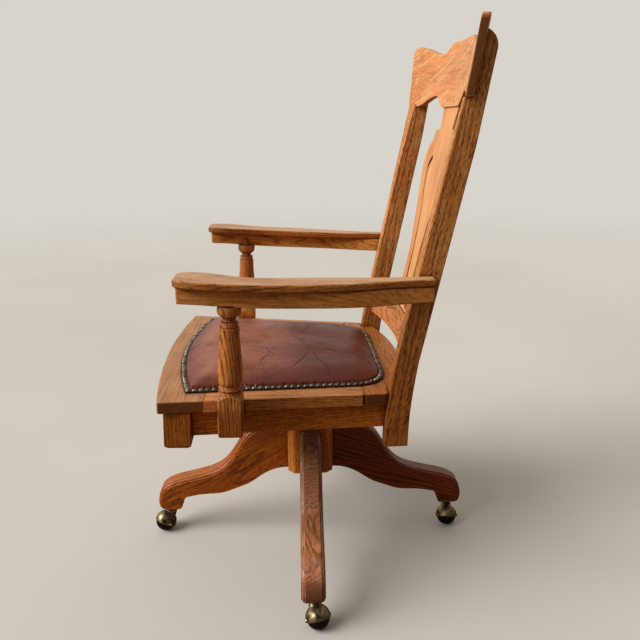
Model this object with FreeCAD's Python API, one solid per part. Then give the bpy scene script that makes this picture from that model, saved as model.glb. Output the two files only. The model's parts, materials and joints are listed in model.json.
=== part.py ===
"""Oak bankers swivel chair with a tilting iron, turned arm posts and a pierced splat.

Millimetres, +Z up. The origin is on the floor under the swivel spindle. The chair
faces -Y, so its left arm as the sitter has it is on +X.
"""
import FreeCAD, Part
import math
import os

# Overall sizes of the seat, the back and the arms
SEAT_TOP = 435.5
SEAT_SLOPE_DEG = 2.2
SEAT_HALF_WIDTH = 281.0
SEAT_SIDE_TAPER = 47.0
SEAT_FRONT = -289.0
SEAT_FRONT_BOW = 22.0
SEAT_REAR_CORNER = 142.5
SEAT_REAR_BOW = 31.0
BOARD = 23.0
FRONT_BOARD_DEPTH = 83.0
REAR_BOARD_START = 92.5
SIDE_BOARD_WIDTH = 75.0
PANEL_THICK = 10.0
PANEL_LAP = 8.0

# Leather seat pad
PAD_SIDE_MARGIN = 43.0
PAD_SIDE_TAPER = 44.0
PAD_FRONT_MARGIN = 46.0
PAD_FRONT_BOW = 34.0
PAD_REAR = 149.0
PAD_REAR_CORNER = 68.0
PAD_EDGE = 5.0
PAD_CROWN = 19.0
SOFT_GAP = 0.3

# Aprons, stub posts and what stiffens the seat frame
APRON_INSET = 20.0
APRON_THICK = 20.0
APRON_DEPTH = 55.0
STUB_SIDE = 50.0
STUB_DROP = 75.0
STUB_INSET = 9.0
STUB_CHAMFER = 6.0
SEAT_CORNER = 5.0
SEAT_REAR_TURN = 9.0
CORNER_BLOCK = 42.0
CORNER_BLOCK_DEPTH = 34.0
PACKING_DEPTH = 30.0
CLEAT_OFFSET = 95.0
CLEAT_WIDTH = 44.0
CLEAT_DEPTH = 15.0

# Back: two raked stiles, a bent crest, a bent lower rail and a pierced splat
BACK_DATUM = 446.0
BACK_HALF_WIDTH = 233.5
STILE_FRONT = 148.0
STILE_RAKE = 0.212
STILE_SPLAY = 0.023
STILE_THICK = 31.0
STILE_DEPTH = 43.5
STILE_TOP_DEPTH = 36.5
STILE_TAPER_START = 895.0
STILE_FOOT = 315.0
STILE_TOP = 1080.0
STILE_BEVEL = 7.0
STILE_BEVEL_START = 700.0
STILE_EDGE = 2.5
BACK_BOW = 40.0
BACK_BOW_HALF = 250.0
CREST_RAKE = 0.173
CREST_BOTTOM = 971.0
CREST_RISE = 127.0
CREST_HALF = 252.0
CREST_FLARE = 21.0
CREST_THICK = 15.0
TONGUE_HALF = 76.0
TONGUE_DROP = 10.5
LOWER_RAIL_BOTTOM = 470.0
LOWER_RAIL_HEIGHT = 62.0
LOWER_RAIL_THICK = 18.0
TENON = 18.0
TENON_SHOULDER = 6.0
SPLAT_SETBACK = 42.8
SPLAT_THICK = 9.0
SPLAT_TENON = 11.0
SPLAT_NECK = 50.0
SPLAT_SHOULDER = 80.0
SPLAT_BELLY = 130.0
SPLAT_WAIST = 66.0
SPLAT_FOOT = 86.0
SLOT_WIDTH = 12.0

# Arms
RAIL_THICK = 24.7
RAIL_HEIGHT = 31.0
RAIL_FRONT = -234.0
RAIL_FRONT_UNDERSIDE = 637.0
RAIL_MIDDLE_UNDERSIDE = 622.5
RAIL_REAR_UNDERSIDE = 617.0
ARM_THICK = 14.0
ARM_FRONT_OVERHANG = 4.0
ARM_EDGE = 4.0
POST_X = 295.0
POST_Y = -152.0
POST_BLOCK = 44.0
POST_BLOCK_LAP = 33.0
POST_FOOT = 389.0
POST_BLOCK_TOP = 458.0
POST_EDGE = 4.0
POST_LEAN_DEG = 1.75
POST_TENON = 10.0
POST_TENON_LENGTH = 18.0

# Base
BASE_TURN_DEG = -1.6
HUB_HALF = 51.0
HUB_CORNER = 14.0
HUB_BOTTOM = 159.0
HUB_TOP = 268.0
HUB_CHAMFER = 2.0
LEG_THICK = 47.0
LEG_ROOT_BOTTOM = 162.0
LEG_REACH = 357.0
FOOT_HEIGHT = 58.0
FOOT_LENGTH = 46.0
FOOT_CENTRE = 328.0
MOULD_WIDTH = 7.5
MOULD_DROP = 8.5
MOULD_FILLET = 2.0
MOULD_ROUND = 5.0
DOWEL_RADIUS = 5.0
DOWEL_LENGTH = 50.0
DOWEL_RISE = 32.0

# Casters
BALL_RADIUS = 22.5
CASTER_TRAIL = 22.0
HOOD_WALL = 1.6
HOOD_GAP = 0.5
HOOD_LEAN_DEG = 32.0
HOOD_SKIRT = 4.0
STEM_RADIUS = 5.0
STEM_LENGTH = 34.0
NECK_RADIUS = 9.5
NECK_HEIGHT = 9.0
SOCKET_WALL = 3.0
SOCKET_FLANGE = 14.0
SOCKET_PLATE = 1.6
AXLE_RADIUS = 2.5
AXLE_HEAD_RADIUS = 3.6
AXLE_HEAD = 1.6
CASTER_HEADINGS_DEG = (20.0, -8.0, 168.0, -55.0)

# Swivel and height screw
SPINDLE_RADIUS = 12.7
SPINDLE_FOOT = 168.0
SLEEVE_WALL = 6.0
FLANGE_RADIUS = 46.0
FLANGE_THICK = 5.0
WASHER_RADIUS = 30.0
WASHER_THICK = 4.0
KEY_WIDTH = 4.0
KEY_DEPTH = 3.0
NUT_HEIGHT = 24.0
NUT_HUB_RADIUS = 23.0
NUT_RIM_RADIUS = 45.0
NUT_RIM_THICK = 10.0
NUT_LOBES = 8
RUN_GAP = 0.3
SHAFT_GAP = 0.06

# Tilting iron
PIVOT_HEIGHT = 376.0
PIVOT_PIN_RADIUS = 8.0
BARREL_RADIUS = 17.0
BARREL_HALF = 46.5
YOKE_HUB_RADIUS = 24.0
YOKE_GAP = 2.0
YOKE_ARM_HALF = 17.0
YOKE_ARM_THICK = 10.0
REAR_ARM_LENGTH = 40.0
IRON_FLANGE_THICK = 6.0
IRON_WEB = 8.0
IRON_HALF_LENGTH = 122.0
IRON_INNER = 47.0
IRON_BOSS_LENGTH = 19.0
IRON_BOSS_RADIUS = 16.0
IRON_SCREW_RADIUS = 3.0
IRON_SCREW_LENGTH = 18.0
ROD_REACH = 85.0
CROSS_PIN_RADIUS = 6.0
ROD_RADIUS = 5.0
ROD_EYE_RADIUS = 11.0
ROD_EYE_HALF = 9.0
ROD_SLOT = 2.6
ROD_TIP_GAP = 4.0
SPRING_RADIUS = 12.0
SPRING_WIRE = 4.4
SPRING_TURNS = 4.5
TENSION_WASHER_RADIUS = 17.0
TENSION_WASHER_THICK = 3.5
KNOB_RADIUS = 25.0
KNOB_HEIGHT = 20.0
KNOB_LOBES = 6

# Bolts that hold the stiles to the seat frame
BOLT_RADIUS = 3.5
BOLT_LENGTH = 62.0
BOLT_HEAD = 5.0
BOLT_HEAD_THICK = 4.0
BOLT_SINK = 5.0
BOLT_X = 208.3

UP = FreeCAD.Vector(0, 0, 1)
ALONG_X = FreeCAD.Vector(1, 0, 0)
ALONG_Y = FreeCAD.Vector(0, 1, 0)
FLOOR = FreeCAD.Vector(0, 0, 0)

SEAT_UNDER = SEAT_TOP - BOARD
APRON_BOTTOM = SEAT_UNDER - APRON_DEPTH
FRONT_JOINT = SEAT_FRONT + FRONT_BOARD_DEPTH
SEAT_REAR_HALF = SEAT_HALF_WIDTH - SEAT_SIDE_TAPER
CLEAT_UNDER = SEAT_UNDER - CLEAT_DEPTH
STUB_FACE = SEAT_HALF_WIDTH - STUB_INSET
STUB_FRONT = SEAT_FRONT + STUB_INSET
STUB_REAR = STUB_FRONT + STUB_SIDE
REAR_APRON_START = STILE_FRONT - APRON_THICK - 6.0
CREST_TOP = CREST_BOTTOM + CREST_RISE
CREST_CURVE_HALF = CREST_HALF + 30.0
LOWER_RAIL_TOP = LOWER_RAIL_BOTTOM + LOWER_RAIL_HEIGHT
HUB_SEAT = HUB_TOP + FLANGE_THICK
WASHER_BOTTOM = HUB_SEAT + RUN_GAP
NUT_BOTTOM = WASHER_BOTTOM + WASHER_THICK + RUN_GAP
NUT_TOP = NUT_BOTTOM + NUT_HEIGHT
YOKE_BOTTOM = NUT_TOP + YOKE_GAP
YOKE_ARM_TOP = PIVOT_HEIGHT - ROD_EYE_RADIUS - RUN_GAP
YOKE_ARM_UNDER = YOKE_ARM_TOP - YOKE_ARM_THICK
ROD_Y = -ROD_REACH * math.cos(math.radians(SEAT_SLOPE_DEG))
ROD_PIN_HEIGHT = PIVOT_HEIGHT + ROD_REACH * math.sin(math.radians(SEAT_SLOPE_DEG))
ROD_TIP = HUB_TOP + ROD_TIP_GAP
KNOB_BOTTOM = ROD_TIP + ROD_TIP_GAP
KNOB_TOP = KNOB_BOTTOM + KNOB_HEIGHT
TENSION_WASHER_BOTTOM = KNOB_TOP + RUN_GAP
TENSION_WASHER_TOP = TENSION_WASHER_BOTTOM + TENSION_WASHER_THICK


def at(x, y, z):
    """A point in the chair's frame."""
    return FreeCAD.Vector(x, y, z)


def run(points):
    """A straight edge through two points, or a smooth curve through more."""
    if len(points) == 2:
        return Part.LineSegment(points[0], points[1]).toShape()
    curve = Part.BSplineCurve()
    curve.interpolate(points)
    return curve.toShape()


def face(runs, place):
    """A flat face inside runs of 2-D points; each run starts where the last ended."""
    return Part.Face(Part.Wire([run([place(a, b) for a, b in points]) for points in runs]))


def plan(z):
    """Puts plan points at a height."""
    return lambda x, y: at(x, y, z)


def front_view(x, z):
    """Puts front-view points on the plane y = 0."""
    return at(x, 0, z)


def side_view(y, z):
    """Puts side-view points on the plane x = 0."""
    return at(0, y, z)


def across(half):
    """Mirrors a chain of 2-D points that starts or ends on the centre line."""
    return [(-a, b) for a, b in reversed(half)]


def block(x0, x1, y0, y1, z0, z1):
    """A square-edged block between two corners."""
    return Part.makeBox(x1 - x0, y1 - y0, z1 - z0, at(x0, y0, z0))


def rod(radius, start, direction, length):
    """A round bar."""
    return Part.makeCylinder(radius, length, start, direction)


def turned(half_profile, centre=FLOOR):
    """A shape turned about the upright axis through a centre, from (radius, height)."""
    place = lambda radius, height: centre + at(radius, 0, height)
    return face(half_profile, place).revolve(centre, UP, 360)


def lines(*corners):
    """Straight runs through the corners and back to the first."""
    closed = list(corners) + [corners[0]]
    return [[closed[i], closed[i + 1]] for i in range(len(corners))]


def beside(path, distance):
    """The points a distance to the left of a path of 2-D points."""
    moved = []
    for i, (a, b) in enumerate(path):
        before = path[max(i - 1, 0)]
        after = path[min(i + 1, len(path) - 1)]
        length = math.hypot(after[0] - before[0], after[1] - before[1])
        normal = (-(after[1] - before[1]) / length, (after[0] - before[0]) / length)
        moved.append((a + normal[0] * distance, b + normal[1] * distance))
    return moved


def ribbon(path, near, far):
    """Runs around the band between two distances from a path."""
    first = beside(path, near)
    second = beside(path, far)
    return [first, [first[-1], second[-1]], second[::-1], [second[0], first[0]]]


def other_side(shape):
    """The same piece for the other side of the chair."""
    return shape.mirror(FLOOR, ALONG_X)


def sloped(shape):
    """Sets a piece of the seat, drawn level, at the seat's backward slope."""
    placed = shape.copy()
    placed.rotate(at(0, 0, PIVOT_HEIGHT), ALONG_X, -SEAT_SLOPE_DEG)
    return placed


def levelled(shape):
    """Brings an upright piece into the frame that the seat is drawn in."""
    placed = shape.copy()
    placed.rotate(at(0, 0, PIVOT_HEIGHT), ALONG_X, SEAT_SLOPE_DEG)
    return placed


def round_edges(shape, radius, wanted):
    """Rounds the edges that a test picks."""
    return shape.makeFillet(radius, [edge for edge in shape.Edges if wanted(edge)])


def spans(edge, axis, least):
    """Whether an edge is at least this long along an axis."""
    box = edge.BoundBox
    return {"x": box.XLength, "y": box.YLength, "z": box.ZLength}[axis] >= least


# Back geometry that several pieces share

def stile_front(z):
    """Front of a stile on its straight raked stretch."""
    return STILE_FRONT + STILE_RAKE * (z - BACK_DATUM)


def splay(z):
    """How far the stiles have spread at a height."""
    return STILE_SPLAY * (z - BACK_DATUM)


def bow_depth(x):
    """How far the bent back pieces stand behind their ends."""
    return BACK_BOW * (1 - (x / BACK_BOW_HALF) ** 2)


def bow_arc(front, thick, half):
    """Plan runs of a bent board: a front arc, its rear arc and square ends."""
    stations = (-1.0, -0.5, 0.0, 0.5, 1.0)
    near = [(half * t, front + bow_depth(half * t)) for t in stations]
    far = [(x, y + thick) for x, y in reversed(near)]
    return [near, [near[-1], far[0]], far, [far[-1], near[0]]]


def leaning(runs, bottom, top, rake):
    """A plan outline drawn at the bottom and carried up along a rake."""
    return face(runs, plan(bottom)).extrude(at(0, rake * (top - bottom), top - bottom))


def elevation(runs, near, far):
    """A front-view outline carried through a range of y."""
    return face(runs, lambda x, z: at(x, near, z)).extrude(at(0, far - near, 0))


def crest_front(z):
    """Front of the crest at its ends, which is less raked than the stiles."""
    return stile_front(CREST_BOTTOM) + CREST_RAKE * (z - CREST_BOTTOM)


# Seat frame

def seat_front_edge():
    """Bowed front edge from right to left, as plan points."""
    half = SEAT_HALF_WIDTH
    return [(half, SEAT_FRONT), (half / 2, SEAT_FRONT - 0.75 * SEAT_FRONT_BOW), (0, SEAT_FRONT - SEAT_FRONT_BOW),
            (-half / 2, SEAT_FRONT - 0.75 * SEAT_FRONT_BOW), (-half, SEAT_FRONT)]


def panel_block(gap):
    """The panel under the leather, or the recess for it with a gap all round."""
    lap = PANEL_LAP + gap - SIDE_BOARD_WIDTH
    front = FRONT_JOINT - PANEL_LAP - gap
    rear = REAR_BOARD_START + PANEL_LAP + gap
    runs = lines((seat_side_x(front) + lap, front), (seat_side_x(rear) + lap, rear),
                 (-seat_side_x(rear) - lap, rear), (-seat_side_x(front) - lap, front))
    return face(runs, plan(SEAT_TOP - PANEL_THICK)).extrude(UP * PANEL_THICK)


def seat_side_x(y):
    """Half width of the seat at a depth."""
    share = (y - SEAT_FRONT) / (SEAT_REAR_CORNER - SEAT_FRONT)
    return SEAT_HALF_WIDTH - SEAT_SIDE_TAPER * share


def seat_front_board():
    front = seat_front_edge()
    half = seat_side_x(FRONT_JOINT)
    runs = [front, [front[-1], (-half, FRONT_JOINT)], [(-half, FRONT_JOINT), (half, FRONT_JOINT)],
            [(half, FRONT_JOINT), front[0]]]
    board = face(runs, plan(SEAT_UNDER)).extrude(UP * BOARD)
    board = round_edges(board, SEAT_CORNER, lambda e: spans(e, "z", BOARD / 2) and e.BoundBox.YMax < SEAT_FRONT + 1)
    board = round_edges(board, 3.0, lambda e: spans(e, "x", SEAT_HALF_WIDTH) and e.BoundBox.YMax < FRONT_JOINT)
    return board.cut(panel_block(SOFT_GAP))


def seat_side_board(post):
    """Board on the +X side, housed for the block of the arm post."""
    front = seat_side_x(FRONT_JOINT)
    rear = seat_side_x(REAR_BOARD_START)
    runs = lines((front - SIDE_BOARD_WIDTH, FRONT_JOINT), (front, FRONT_JOINT), (rear, REAR_BOARD_START),
                 (rear - SIDE_BOARD_WIDTH, REAR_BOARD_START))
    board = face(runs, plan(SEAT_UNDER)).extrude(UP * BOARD)
    return board.cut(panel_block(SOFT_GAP)).cut(post)


def seat_rear_board(stiles):
    """Rear board with a bowed edge between the stiles, fitted round their front faces."""
    notch = BACK_HALF_WIDTH - STILE_THICK + 2.0
    start = STILE_FRONT + STILE_DEPTH / 2
    bow = [(notch, start), (0.6 * notch, start + 0.64 * SEAT_REAR_BOW), (0, start + SEAT_REAR_BOW)]
    bow = bow + across(bow)[1:]
    corner = (SEAT_REAR_HALF, SEAT_REAR_CORNER)
    half = seat_side_x(REAR_BOARD_START)
    right = [[(half, REAR_BOARD_START), corner], [corner, (notch, SEAT_REAR_CORNER)], [(notch, SEAT_REAR_CORNER), bow[0]]]
    left = [[(-x, y) for x, y in reversed(points)] for points in reversed(right)]
    runs = right + [bow] + left + [[(-half, REAR_BOARD_START), (half, REAR_BOARD_START)]]
    board = face(runs, plan(SEAT_UNDER)).extrude(UP * BOARD)
    board = round_edges(board, SEAT_REAR_TURN, lambda e: spans(e, "z", BOARD / 2) and abs(e.BoundBox.XMin) > half - 9)
    return board.cut(panel_block(SOFT_GAP)).cut(stiles)


def pad_runs(shrink):
    """Plan of the leather pad, drawn in by a distance all round."""
    front_half = SEAT_HALF_WIDTH - PAD_SIDE_MARGIN - shrink
    rear_half = front_half - PAD_SIDE_TAPER
    front = SEAT_FRONT + PAD_FRONT_MARGIN + shrink
    rear = PAD_REAR - shrink
    turn = PAD_REAR_CORNER
    bow = [(-front_half, front), (-front_half / 2, front - 0.75 * PAD_FRONT_BOW), (0, front - PAD_FRONT_BOW),
           (front_half / 2, front - 0.75 * PAD_FRONT_BOW), (front_half, front)]
    corner = [(rear_half + 7, rear - 1.15 * turn), (rear_half - 0.26 * turn, rear - 0.3 * turn), (rear_half - turn, rear)]
    return [bow, [bow[-1], corner[0]], corner, [corner[-1], (-corner[-1][0], rear)], across(corner),
            [(-corner[0][0], corner[0][1]), bow[0]]]


def leather_pad():
    """Closed solid of the padded leather: an upright edge and a crowned top."""
    base = SEAT_TOP + SOFT_GAP
    levels = [(0.0, base), (2.0, base + PAD_EDGE), (34.0, base + 0.72 * PAD_CROWN), (90.0, base + PAD_CROWN)]
    wires = [face(pad_runs(shrink), plan(z)).OuterWire for shrink, z in levels]
    return Part.makeLoft(wires, True, True)


# Aprons and blocks

def stub_post():
    """Short front post under the +X corner, with its foot chamfered."""
    inner = STUB_FACE - STUB_SIDE
    post = block(inner, STUB_FACE, STUB_FRONT, STUB_FRONT + STUB_SIDE, SEAT_UNDER - STUB_DROP, SEAT_UNDER)
    foot = [e for e in post.Edges if e.BoundBox.ZMax < SEAT_UNDER - STUB_DROP + 1]
    post = post.makeChamfer(STUB_CHAMFER, foot)
    return round_edges(post, 2.0, lambda e: spans(e, "z", STUB_DROP / 2))


def apron_face(y):
    """Outer face of a side apron at a depth."""
    return seat_side_x(y) - APRON_INSET


def side_apron(stiles):
    """+X apron from the stub post back to the stile that is bolted to its end."""
    front = apron_face(STUB_REAR)
    rear = apron_face(STILE_FRONT)
    runs = lines((front - APRON_THICK, STUB_REAR), (front, STUB_REAR), (rear, STILE_FRONT), (rear - APRON_THICK, STILE_FRONT))
    return face(runs, plan(APRON_BOTTOM)).extrude(UP * APRON_DEPTH).cut(stiles)


def front_apron():
    half = STUB_FACE - STUB_SIDE
    start = STUB_FRONT + STUB_CHAMFER
    return block(-half, half, start, start + APRON_THICK, APRON_BOTTOM, SEAT_UNDER)


def rear_apron():
    """Apron between the rear ends of the side aprons."""
    front = apron_face(REAR_APRON_START) - APRON_THICK
    rear = apron_face(STILE_FRONT) - APRON_THICK
    runs = lines((-front, REAR_APRON_START), (front, REAR_APRON_START), (rear, STILE_FRONT), (-rear, STILE_FRONT))
    return face(runs, plan(APRON_BOTTOM)).extrude(UP * APRON_DEPTH)


def corner_blocks():
    """Glued blocks in the four corners of the apron frame."""
    pieces = []
    for y, along in ((STUB_REAR, 1), (REAR_APRON_START, -1)):
        start = apron_face(y) - APRON_THICK
        far = y + along * CORNER_BLOCK
        runs = lines((start, y), (start - CORNER_BLOCK, y), (apron_face(far) - APRON_THICK, far))
        piece = face(runs, plan(SEAT_UNDER - CORNER_BLOCK_DEPTH)).extrude(UP * CORNER_BLOCK_DEPTH)
        pieces += [piece, other_side(piece)]
    return Part.makeCompound(pieces)


def seat_cleats():
    """Two battens under the seat that the iron is screwed to."""
    front = STUB_FRONT + STUB_CHAMFER + APRON_THICK
    inner = CLEAT_OFFSET - CLEAT_WIDTH / 2
    cleat = block(inner, inner + CLEAT_WIDTH, front, REAR_APRON_START, CLEAT_UNDER, SEAT_UNDER)
    cleat = cleat.cut(iron_screw_set(0.0))
    return Part.makeCompound([cleat, other_side(cleat)])


def packing_blocks(post):
    """Blocks that carry the arm posts off the side aprons."""
    front = POST_Y - POST_BLOCK / 2 + 3.0
    rear = POST_Y + POST_BLOCK / 2 - 7.0
    runs = lines((apron_face(front), front), (POST_X, front), (POST_X, rear), (apron_face(rear), rear))
    piece = face(runs, plan(SEAT_UNDER - PACKING_DEPTH)).extrude(UP * PACKING_DEPTH).cut(post)
    return Part.makeCompound([piece, other_side(piece)])


# Back

def raw_stile():
    """+X stile before it is joined: straight above the seat, bending upright below it."""
    low = BACK_DATUM + 42.0
    front = [(STILE_FRONT - 9.5, STILE_FOOT), (STILE_FRONT - 8.0, STILE_FOOT + 49), (STILE_FRONT - 5.6, STILE_FOOT + 81),
             (STILE_FRONT - 1.2, BACK_DATUM - 9), (stile_front(low) - 0.5, low)]
    top_front = (stile_front(STILE_TOP), STILE_TOP)
    taper = (stile_front(STILE_TAPER_START) + STILE_DEPTH, STILE_TAPER_START)
    shoulder = (stile_front(STILE_TOP - 32) + STILE_TOP_DEPTH, STILE_TOP - 32)
    crown = [top_front, (top_front[0] + 12, STILE_TOP - 1.5), (top_front[0] + 22, STILE_TOP - 8.5),
             (top_front[0] + 28.5, STILE_TOP - 19), shoulder]
    rear = [(stile_front(low) + STILE_DEPTH, low), (STILE_FRONT + 45.2, BACK_DATUM - 10), (STILE_FRONT + 40.5, STILE_FOOT + 79),
            (STILE_FRONT + 38.4, STILE_FOOT + 47), (STILE_FRONT + 37, STILE_FOOT)]
    runs = [front, [front[-1], top_front], crown, [shoulder, taper], [taper, rear[0]], rear, [rear[-1], front[0]]]
    inner = BACK_HALF_WIDTH - STILE_THICK
    stile = face(runs, lambda y, z: at(inner, y, z)).extrude(ALONG_X * STILE_THICK)
    stile = round_edges(stile, STILE_EDGE, lambda e: e.BoundBox.XLength < 1 and e.BoundBox.ZLength > 60)
    stile.rotate(at(BACK_HALF_WIDTH, 0, BACK_DATUM), ALONG_Y, math.degrees(math.atan(STILE_SPLAY)))
    return stile


def crest_seat():
    """Everything in front of the crest's rear face, which the stile tops are cut back to."""
    front = crest_front(CREST_BOTTOM)
    rear = bow_arc(front, CREST_THICK, CREST_CURVE_HALF)[2]
    half = CREST_CURVE_HALF
    runs = [rear, [rear[-1], (-half, front - 90)], [(-half, front - 90), (half, front - 90)], [(half, front - 90), rear[0]]]
    return leaning(runs, CREST_BOTTOM, CREST_TOP + 20, CREST_RAKE)


def stile_bevel():
    """Wedge planed off the front of the +X stile, so that it runs into the bent crest."""
    outer = BACK_HALF_WIDTH + splay(CREST_BOTTOM)
    inner = outer - STILE_THICK
    low_inner = BACK_HALF_WIDTH + splay(STILE_BEVEL_START) - STILE_THICK
    margin = 2.0
    top_front = stile_front(CREST_BOTTOM)
    corners = [at(outer + margin, top_front - margin, CREST_BOTTOM), at(inner - margin, top_front - margin, CREST_BOTTOM),
               at(inner - margin, top_front + STILE_BEVEL, CREST_BOTTOM),
               at(low_inner - margin, stile_front(STILE_BEVEL_START) - margin, STILE_BEVEL_START)]
    triangles = [(0, 1, 2), (0, 1, 3), (1, 2, 3), (2, 0, 3)]
    faces = [Part.Face(Part.makePolygon([corners[a], corners[b], corners[c], corners[a]])) for a, b, c in triangles]
    wedge = Part.makeSolid(Part.makeShell(faces))
    return wedge


def lower_rail_bar():
    """Bent lower rail with barefaced tenons that run into the stiles."""
    inside = BACK_HALF_WIDTH - STILE_THICK + splay(LOWER_RAIL_BOTTOM)
    front = stile_front(LOWER_RAIL_BOTTOM)
    bent = leaning(bow_arc(front, LOWER_RAIL_THICK, inside + TENON), LOWER_RAIL_BOTTOM, LOWER_RAIL_TOP, STILE_RAKE)
    low = LOWER_RAIL_BOTTOM
    high = LOWER_RAIL_TOP
    step = TENON_SHOULDER
    half = [(inside, low), (inside, low + step), (inside + TENON, low + step), (inside + TENON, high - step),
            (inside, high - step), (inside, high)]
    outline = elevation(lines(*(half + [(-x, z) for x, z in reversed(half)])), 0, 400)
    return bent.common(outline)


def splat_edge():
    """+X outline of the splat from its foot to the shoulder under its neck."""
    foot = LOWER_RAIL_TOP
    shoulder = CREST_BOTTOM - 55.0
    height = shoulder - foot
    return [(SPLAT_FOOT, foot), (SPLAT_WAIST + 3, foot + 0.19 * height), (SPLAT_WAIST, foot + 0.29 * height),
            (SPLAT_WAIST + 20, foot + 0.48 * height), (SPLAT_BELLY - 14, foot + 0.67 * height),
            (SPLAT_BELLY, foot + 0.84 * height), (SPLAT_BELLY - 14, foot + 0.9 * height),
            (SPLAT_SHOULDER + 11, foot + 0.95 * height), (SPLAT_SHOULDER + 6, foot + 0.985 * height),
            (SPLAT_SHOULDER, shoulder)]


def splat_slot():
    """Runs of the +X slot: a long curve with a hook at each end."""
    foot = LOWER_RAIL_TOP
    height = CREST_BOTTOM - 55.0 - foot
    spine = [(14, foot + 15), (26, foot + 10), (30, foot + 20), (31, foot + 0.27 * height),
             (35, foot + 0.39 * height), (45, foot + 0.52 * height), (62, foot + 0.63 * height),
             (79, foot + 0.73 * height), (80, foot + 0.79 * height), (70, foot + 0.825 * height),
             (56, foot + 0.85 * height)]
    return ribbon(spine, -SLOT_WIDTH / 2, SLOT_WIDTH / 2)


def splat():
    """Flat vase-shaped board, pierced by two slots, tenoned into the rails above and below."""
    edge = splat_edge()
    shoulder = edge[-1]
    foot = LOWER_RAIL_TOP
    neck = [(SPLAT_NECK, shoulder[1]), (SPLAT_NECK + 3, shoulder[1] + 18), (SPLAT_NECK + 14, CREST_BOTTOM - 6)]
    top = CREST_BOTTOM - TONGUE_DROP + SPLAT_TENON
    head = (SPLAT_NECK + 14, top)
    right = [[(SPLAT_FOOT, foot - SPLAT_TENON), edge[0]], edge, [shoulder, neck[0]], neck, [neck[-1], head]]
    left = [[(-x, z) for x, z in reversed(points)] for points in reversed(right)]
    runs = right + [[head, (-head[0], top)]] + left + [[(-SPLAT_FOOT, foot - SPLAT_TENON), (SPLAT_FOOT, foot - SPLAT_TENON)]]
    base = foot - SPLAT_TENON
    front = stile_front(base) + SPLAT_SETBACK
    wide = SPLAT_BELLY + 20
    slab = leaning(lines((-wide, front), (wide, front), (wide, front + SPLAT_THICK), (-wide, front + SPLAT_THICK)),
                   base, top + 2, STILE_RAKE)
    board = slab.common(elevation(runs, 0, 500))
    slot = elevation(splat_slot(), 0, 500)
    return board.cut(slot).cut(other_side(slot))


def crest_rail(board, stiles):
    """Bent crest with ears, dips, a raised middle and a tongue over the splat."""
    low = CREST_BOTTOM
    high = CREST_TOP
    tongue = low - TONGUE_DROP
    bottom = [[(0, tongue), (TONGUE_HALF - 20, tongue)],
              [(TONGUE_HALF - 20, tongue), (TONGUE_HALF, tongue + 4), (TONGUE_HALF + 12, low), (TONGUE_HALF + 26, low + 12),
               (TONGUE_HALF + 48, low + 15), (TONGUE_HALF + 92, low + 6), (TONGUE_HALF + 128, low - 4),
               (CREST_HALF - 24, low - 3), (CREST_HALF - 8, low)],
              [(CREST_HALF - 8, low), (CREST_HALF, low)]]
    end = [[(CREST_HALF, low), (CREST_HALF + CREST_FLARE, high - 9)]]
    top = [[(CREST_HALF + CREST_FLARE, high - 9), (CREST_HALF + CREST_FLARE - 3, high - 2), (CREST_HALF - 8, high)],
           [(CREST_HALF - 8, high), (CREST_HALF - 36, high - 5), (CREST_HALF - 92, high - 20), (CREST_HALF - 132, high - 25),
            (104, high - 23), (88, high - 16), (70, high - 8.5), (50, high - 7.5)],
           [(50, high - 7.5), (0, high - 7.5)]]
    right = bottom + end + top
    left = [[(-x, z) for x, z in reversed(points)] for points in reversed(right)]
    start = tongue - 5
    bent = leaning(bow_arc(crest_front(start), CREST_THICK, CREST_CURVE_HALF), start, high + 5, CREST_RAKE)
    rail = bent.common(elevation(right + left, 100, 500))
    return rail.cut(board).cut(stiles)


# Arms

def rail_underside():
    """Underside of an arm rail in side view, from the front of the board over it to the rear."""
    rear = stile_front(RAIL_REAR_UNDERSIDE) + STILE_DEPTH - 8.0
    span = rear - RAIL_FRONT
    start = RAIL_FRONT - ARM_FRONT_OVERHANG - 2.0
    return [(start, RAIL_FRONT_UNDERSIDE + 0.2), (RAIL_FRONT, RAIL_FRONT_UNDERSIDE), (RAIL_FRONT + span / 4, RAIL_MIDDLE_UNDERSIDE + 5.6),
            (RAIL_FRONT + span / 2, RAIL_MIDDLE_UNDERSIDE), (RAIL_FRONT + 0.75 * span, RAIL_REAR_UNDERSIDE + 1.4),
            (rear, RAIL_REAR_UNDERSIDE)]


def rail_line():
    """Middle line of the +X arm rail in plan, bowed out and lapped on the stile's outer face."""
    rear = rail_underside()[-1][0]
    span = rear - RAIL_FRONT
    lap = BACK_HALF_WIDTH + splay(RAIL_REAR_UNDERSIDE + RAIL_HEIGHT) + RAIL_THICK / 2
    return [(POST_X + 1.5, RAIL_FRONT), (POST_X + 4, RAIL_FRONT + 0.22 * span), (POST_X - 1, RAIL_FRONT + 0.45 * span),
            (POST_X - 14, RAIL_FRONT + 0.7 * span), (lap + 9, RAIL_FRONT + 0.88 * span), (lap, rear)]


def side_band(low, thick, near, far):
    """A side-view band over a curve, carried through a range of x."""
    high = [(y, z + thick) for y, z in low]
    runs = [low, [low[-1], high[-1]], high[::-1], [high[0], low[0]]]
    return face(runs, lambda y, z: at(near, y, z)).extrude(ALONG_X * (far - near))


def arm_rail(post, stile):
    """Curved rail under the arm board, housed on the post and fitted to the stile."""
    bar = face(ribbon(rail_line(), -RAIL_THICK / 2, RAIL_THICK / 2), plan(RAIL_REAR_UNDERSIDE - 20))
    bar = bar.extrude(UP * (RAIL_FRONT_UNDERSIDE - RAIL_REAR_UNDERSIDE + RAIL_HEIGHT + 40))
    rail = bar.common(side_band(rail_underside(), RAIL_HEIGHT, 150, 400))
    rail = round_edges(rail, ARM_EDGE, lambda e: spans(e, "z", RAIL_HEIGHT / 2) and e.BoundBox.YMax < RAIL_FRONT + 1)
    return rail.cut(post).cut(stile)


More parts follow.
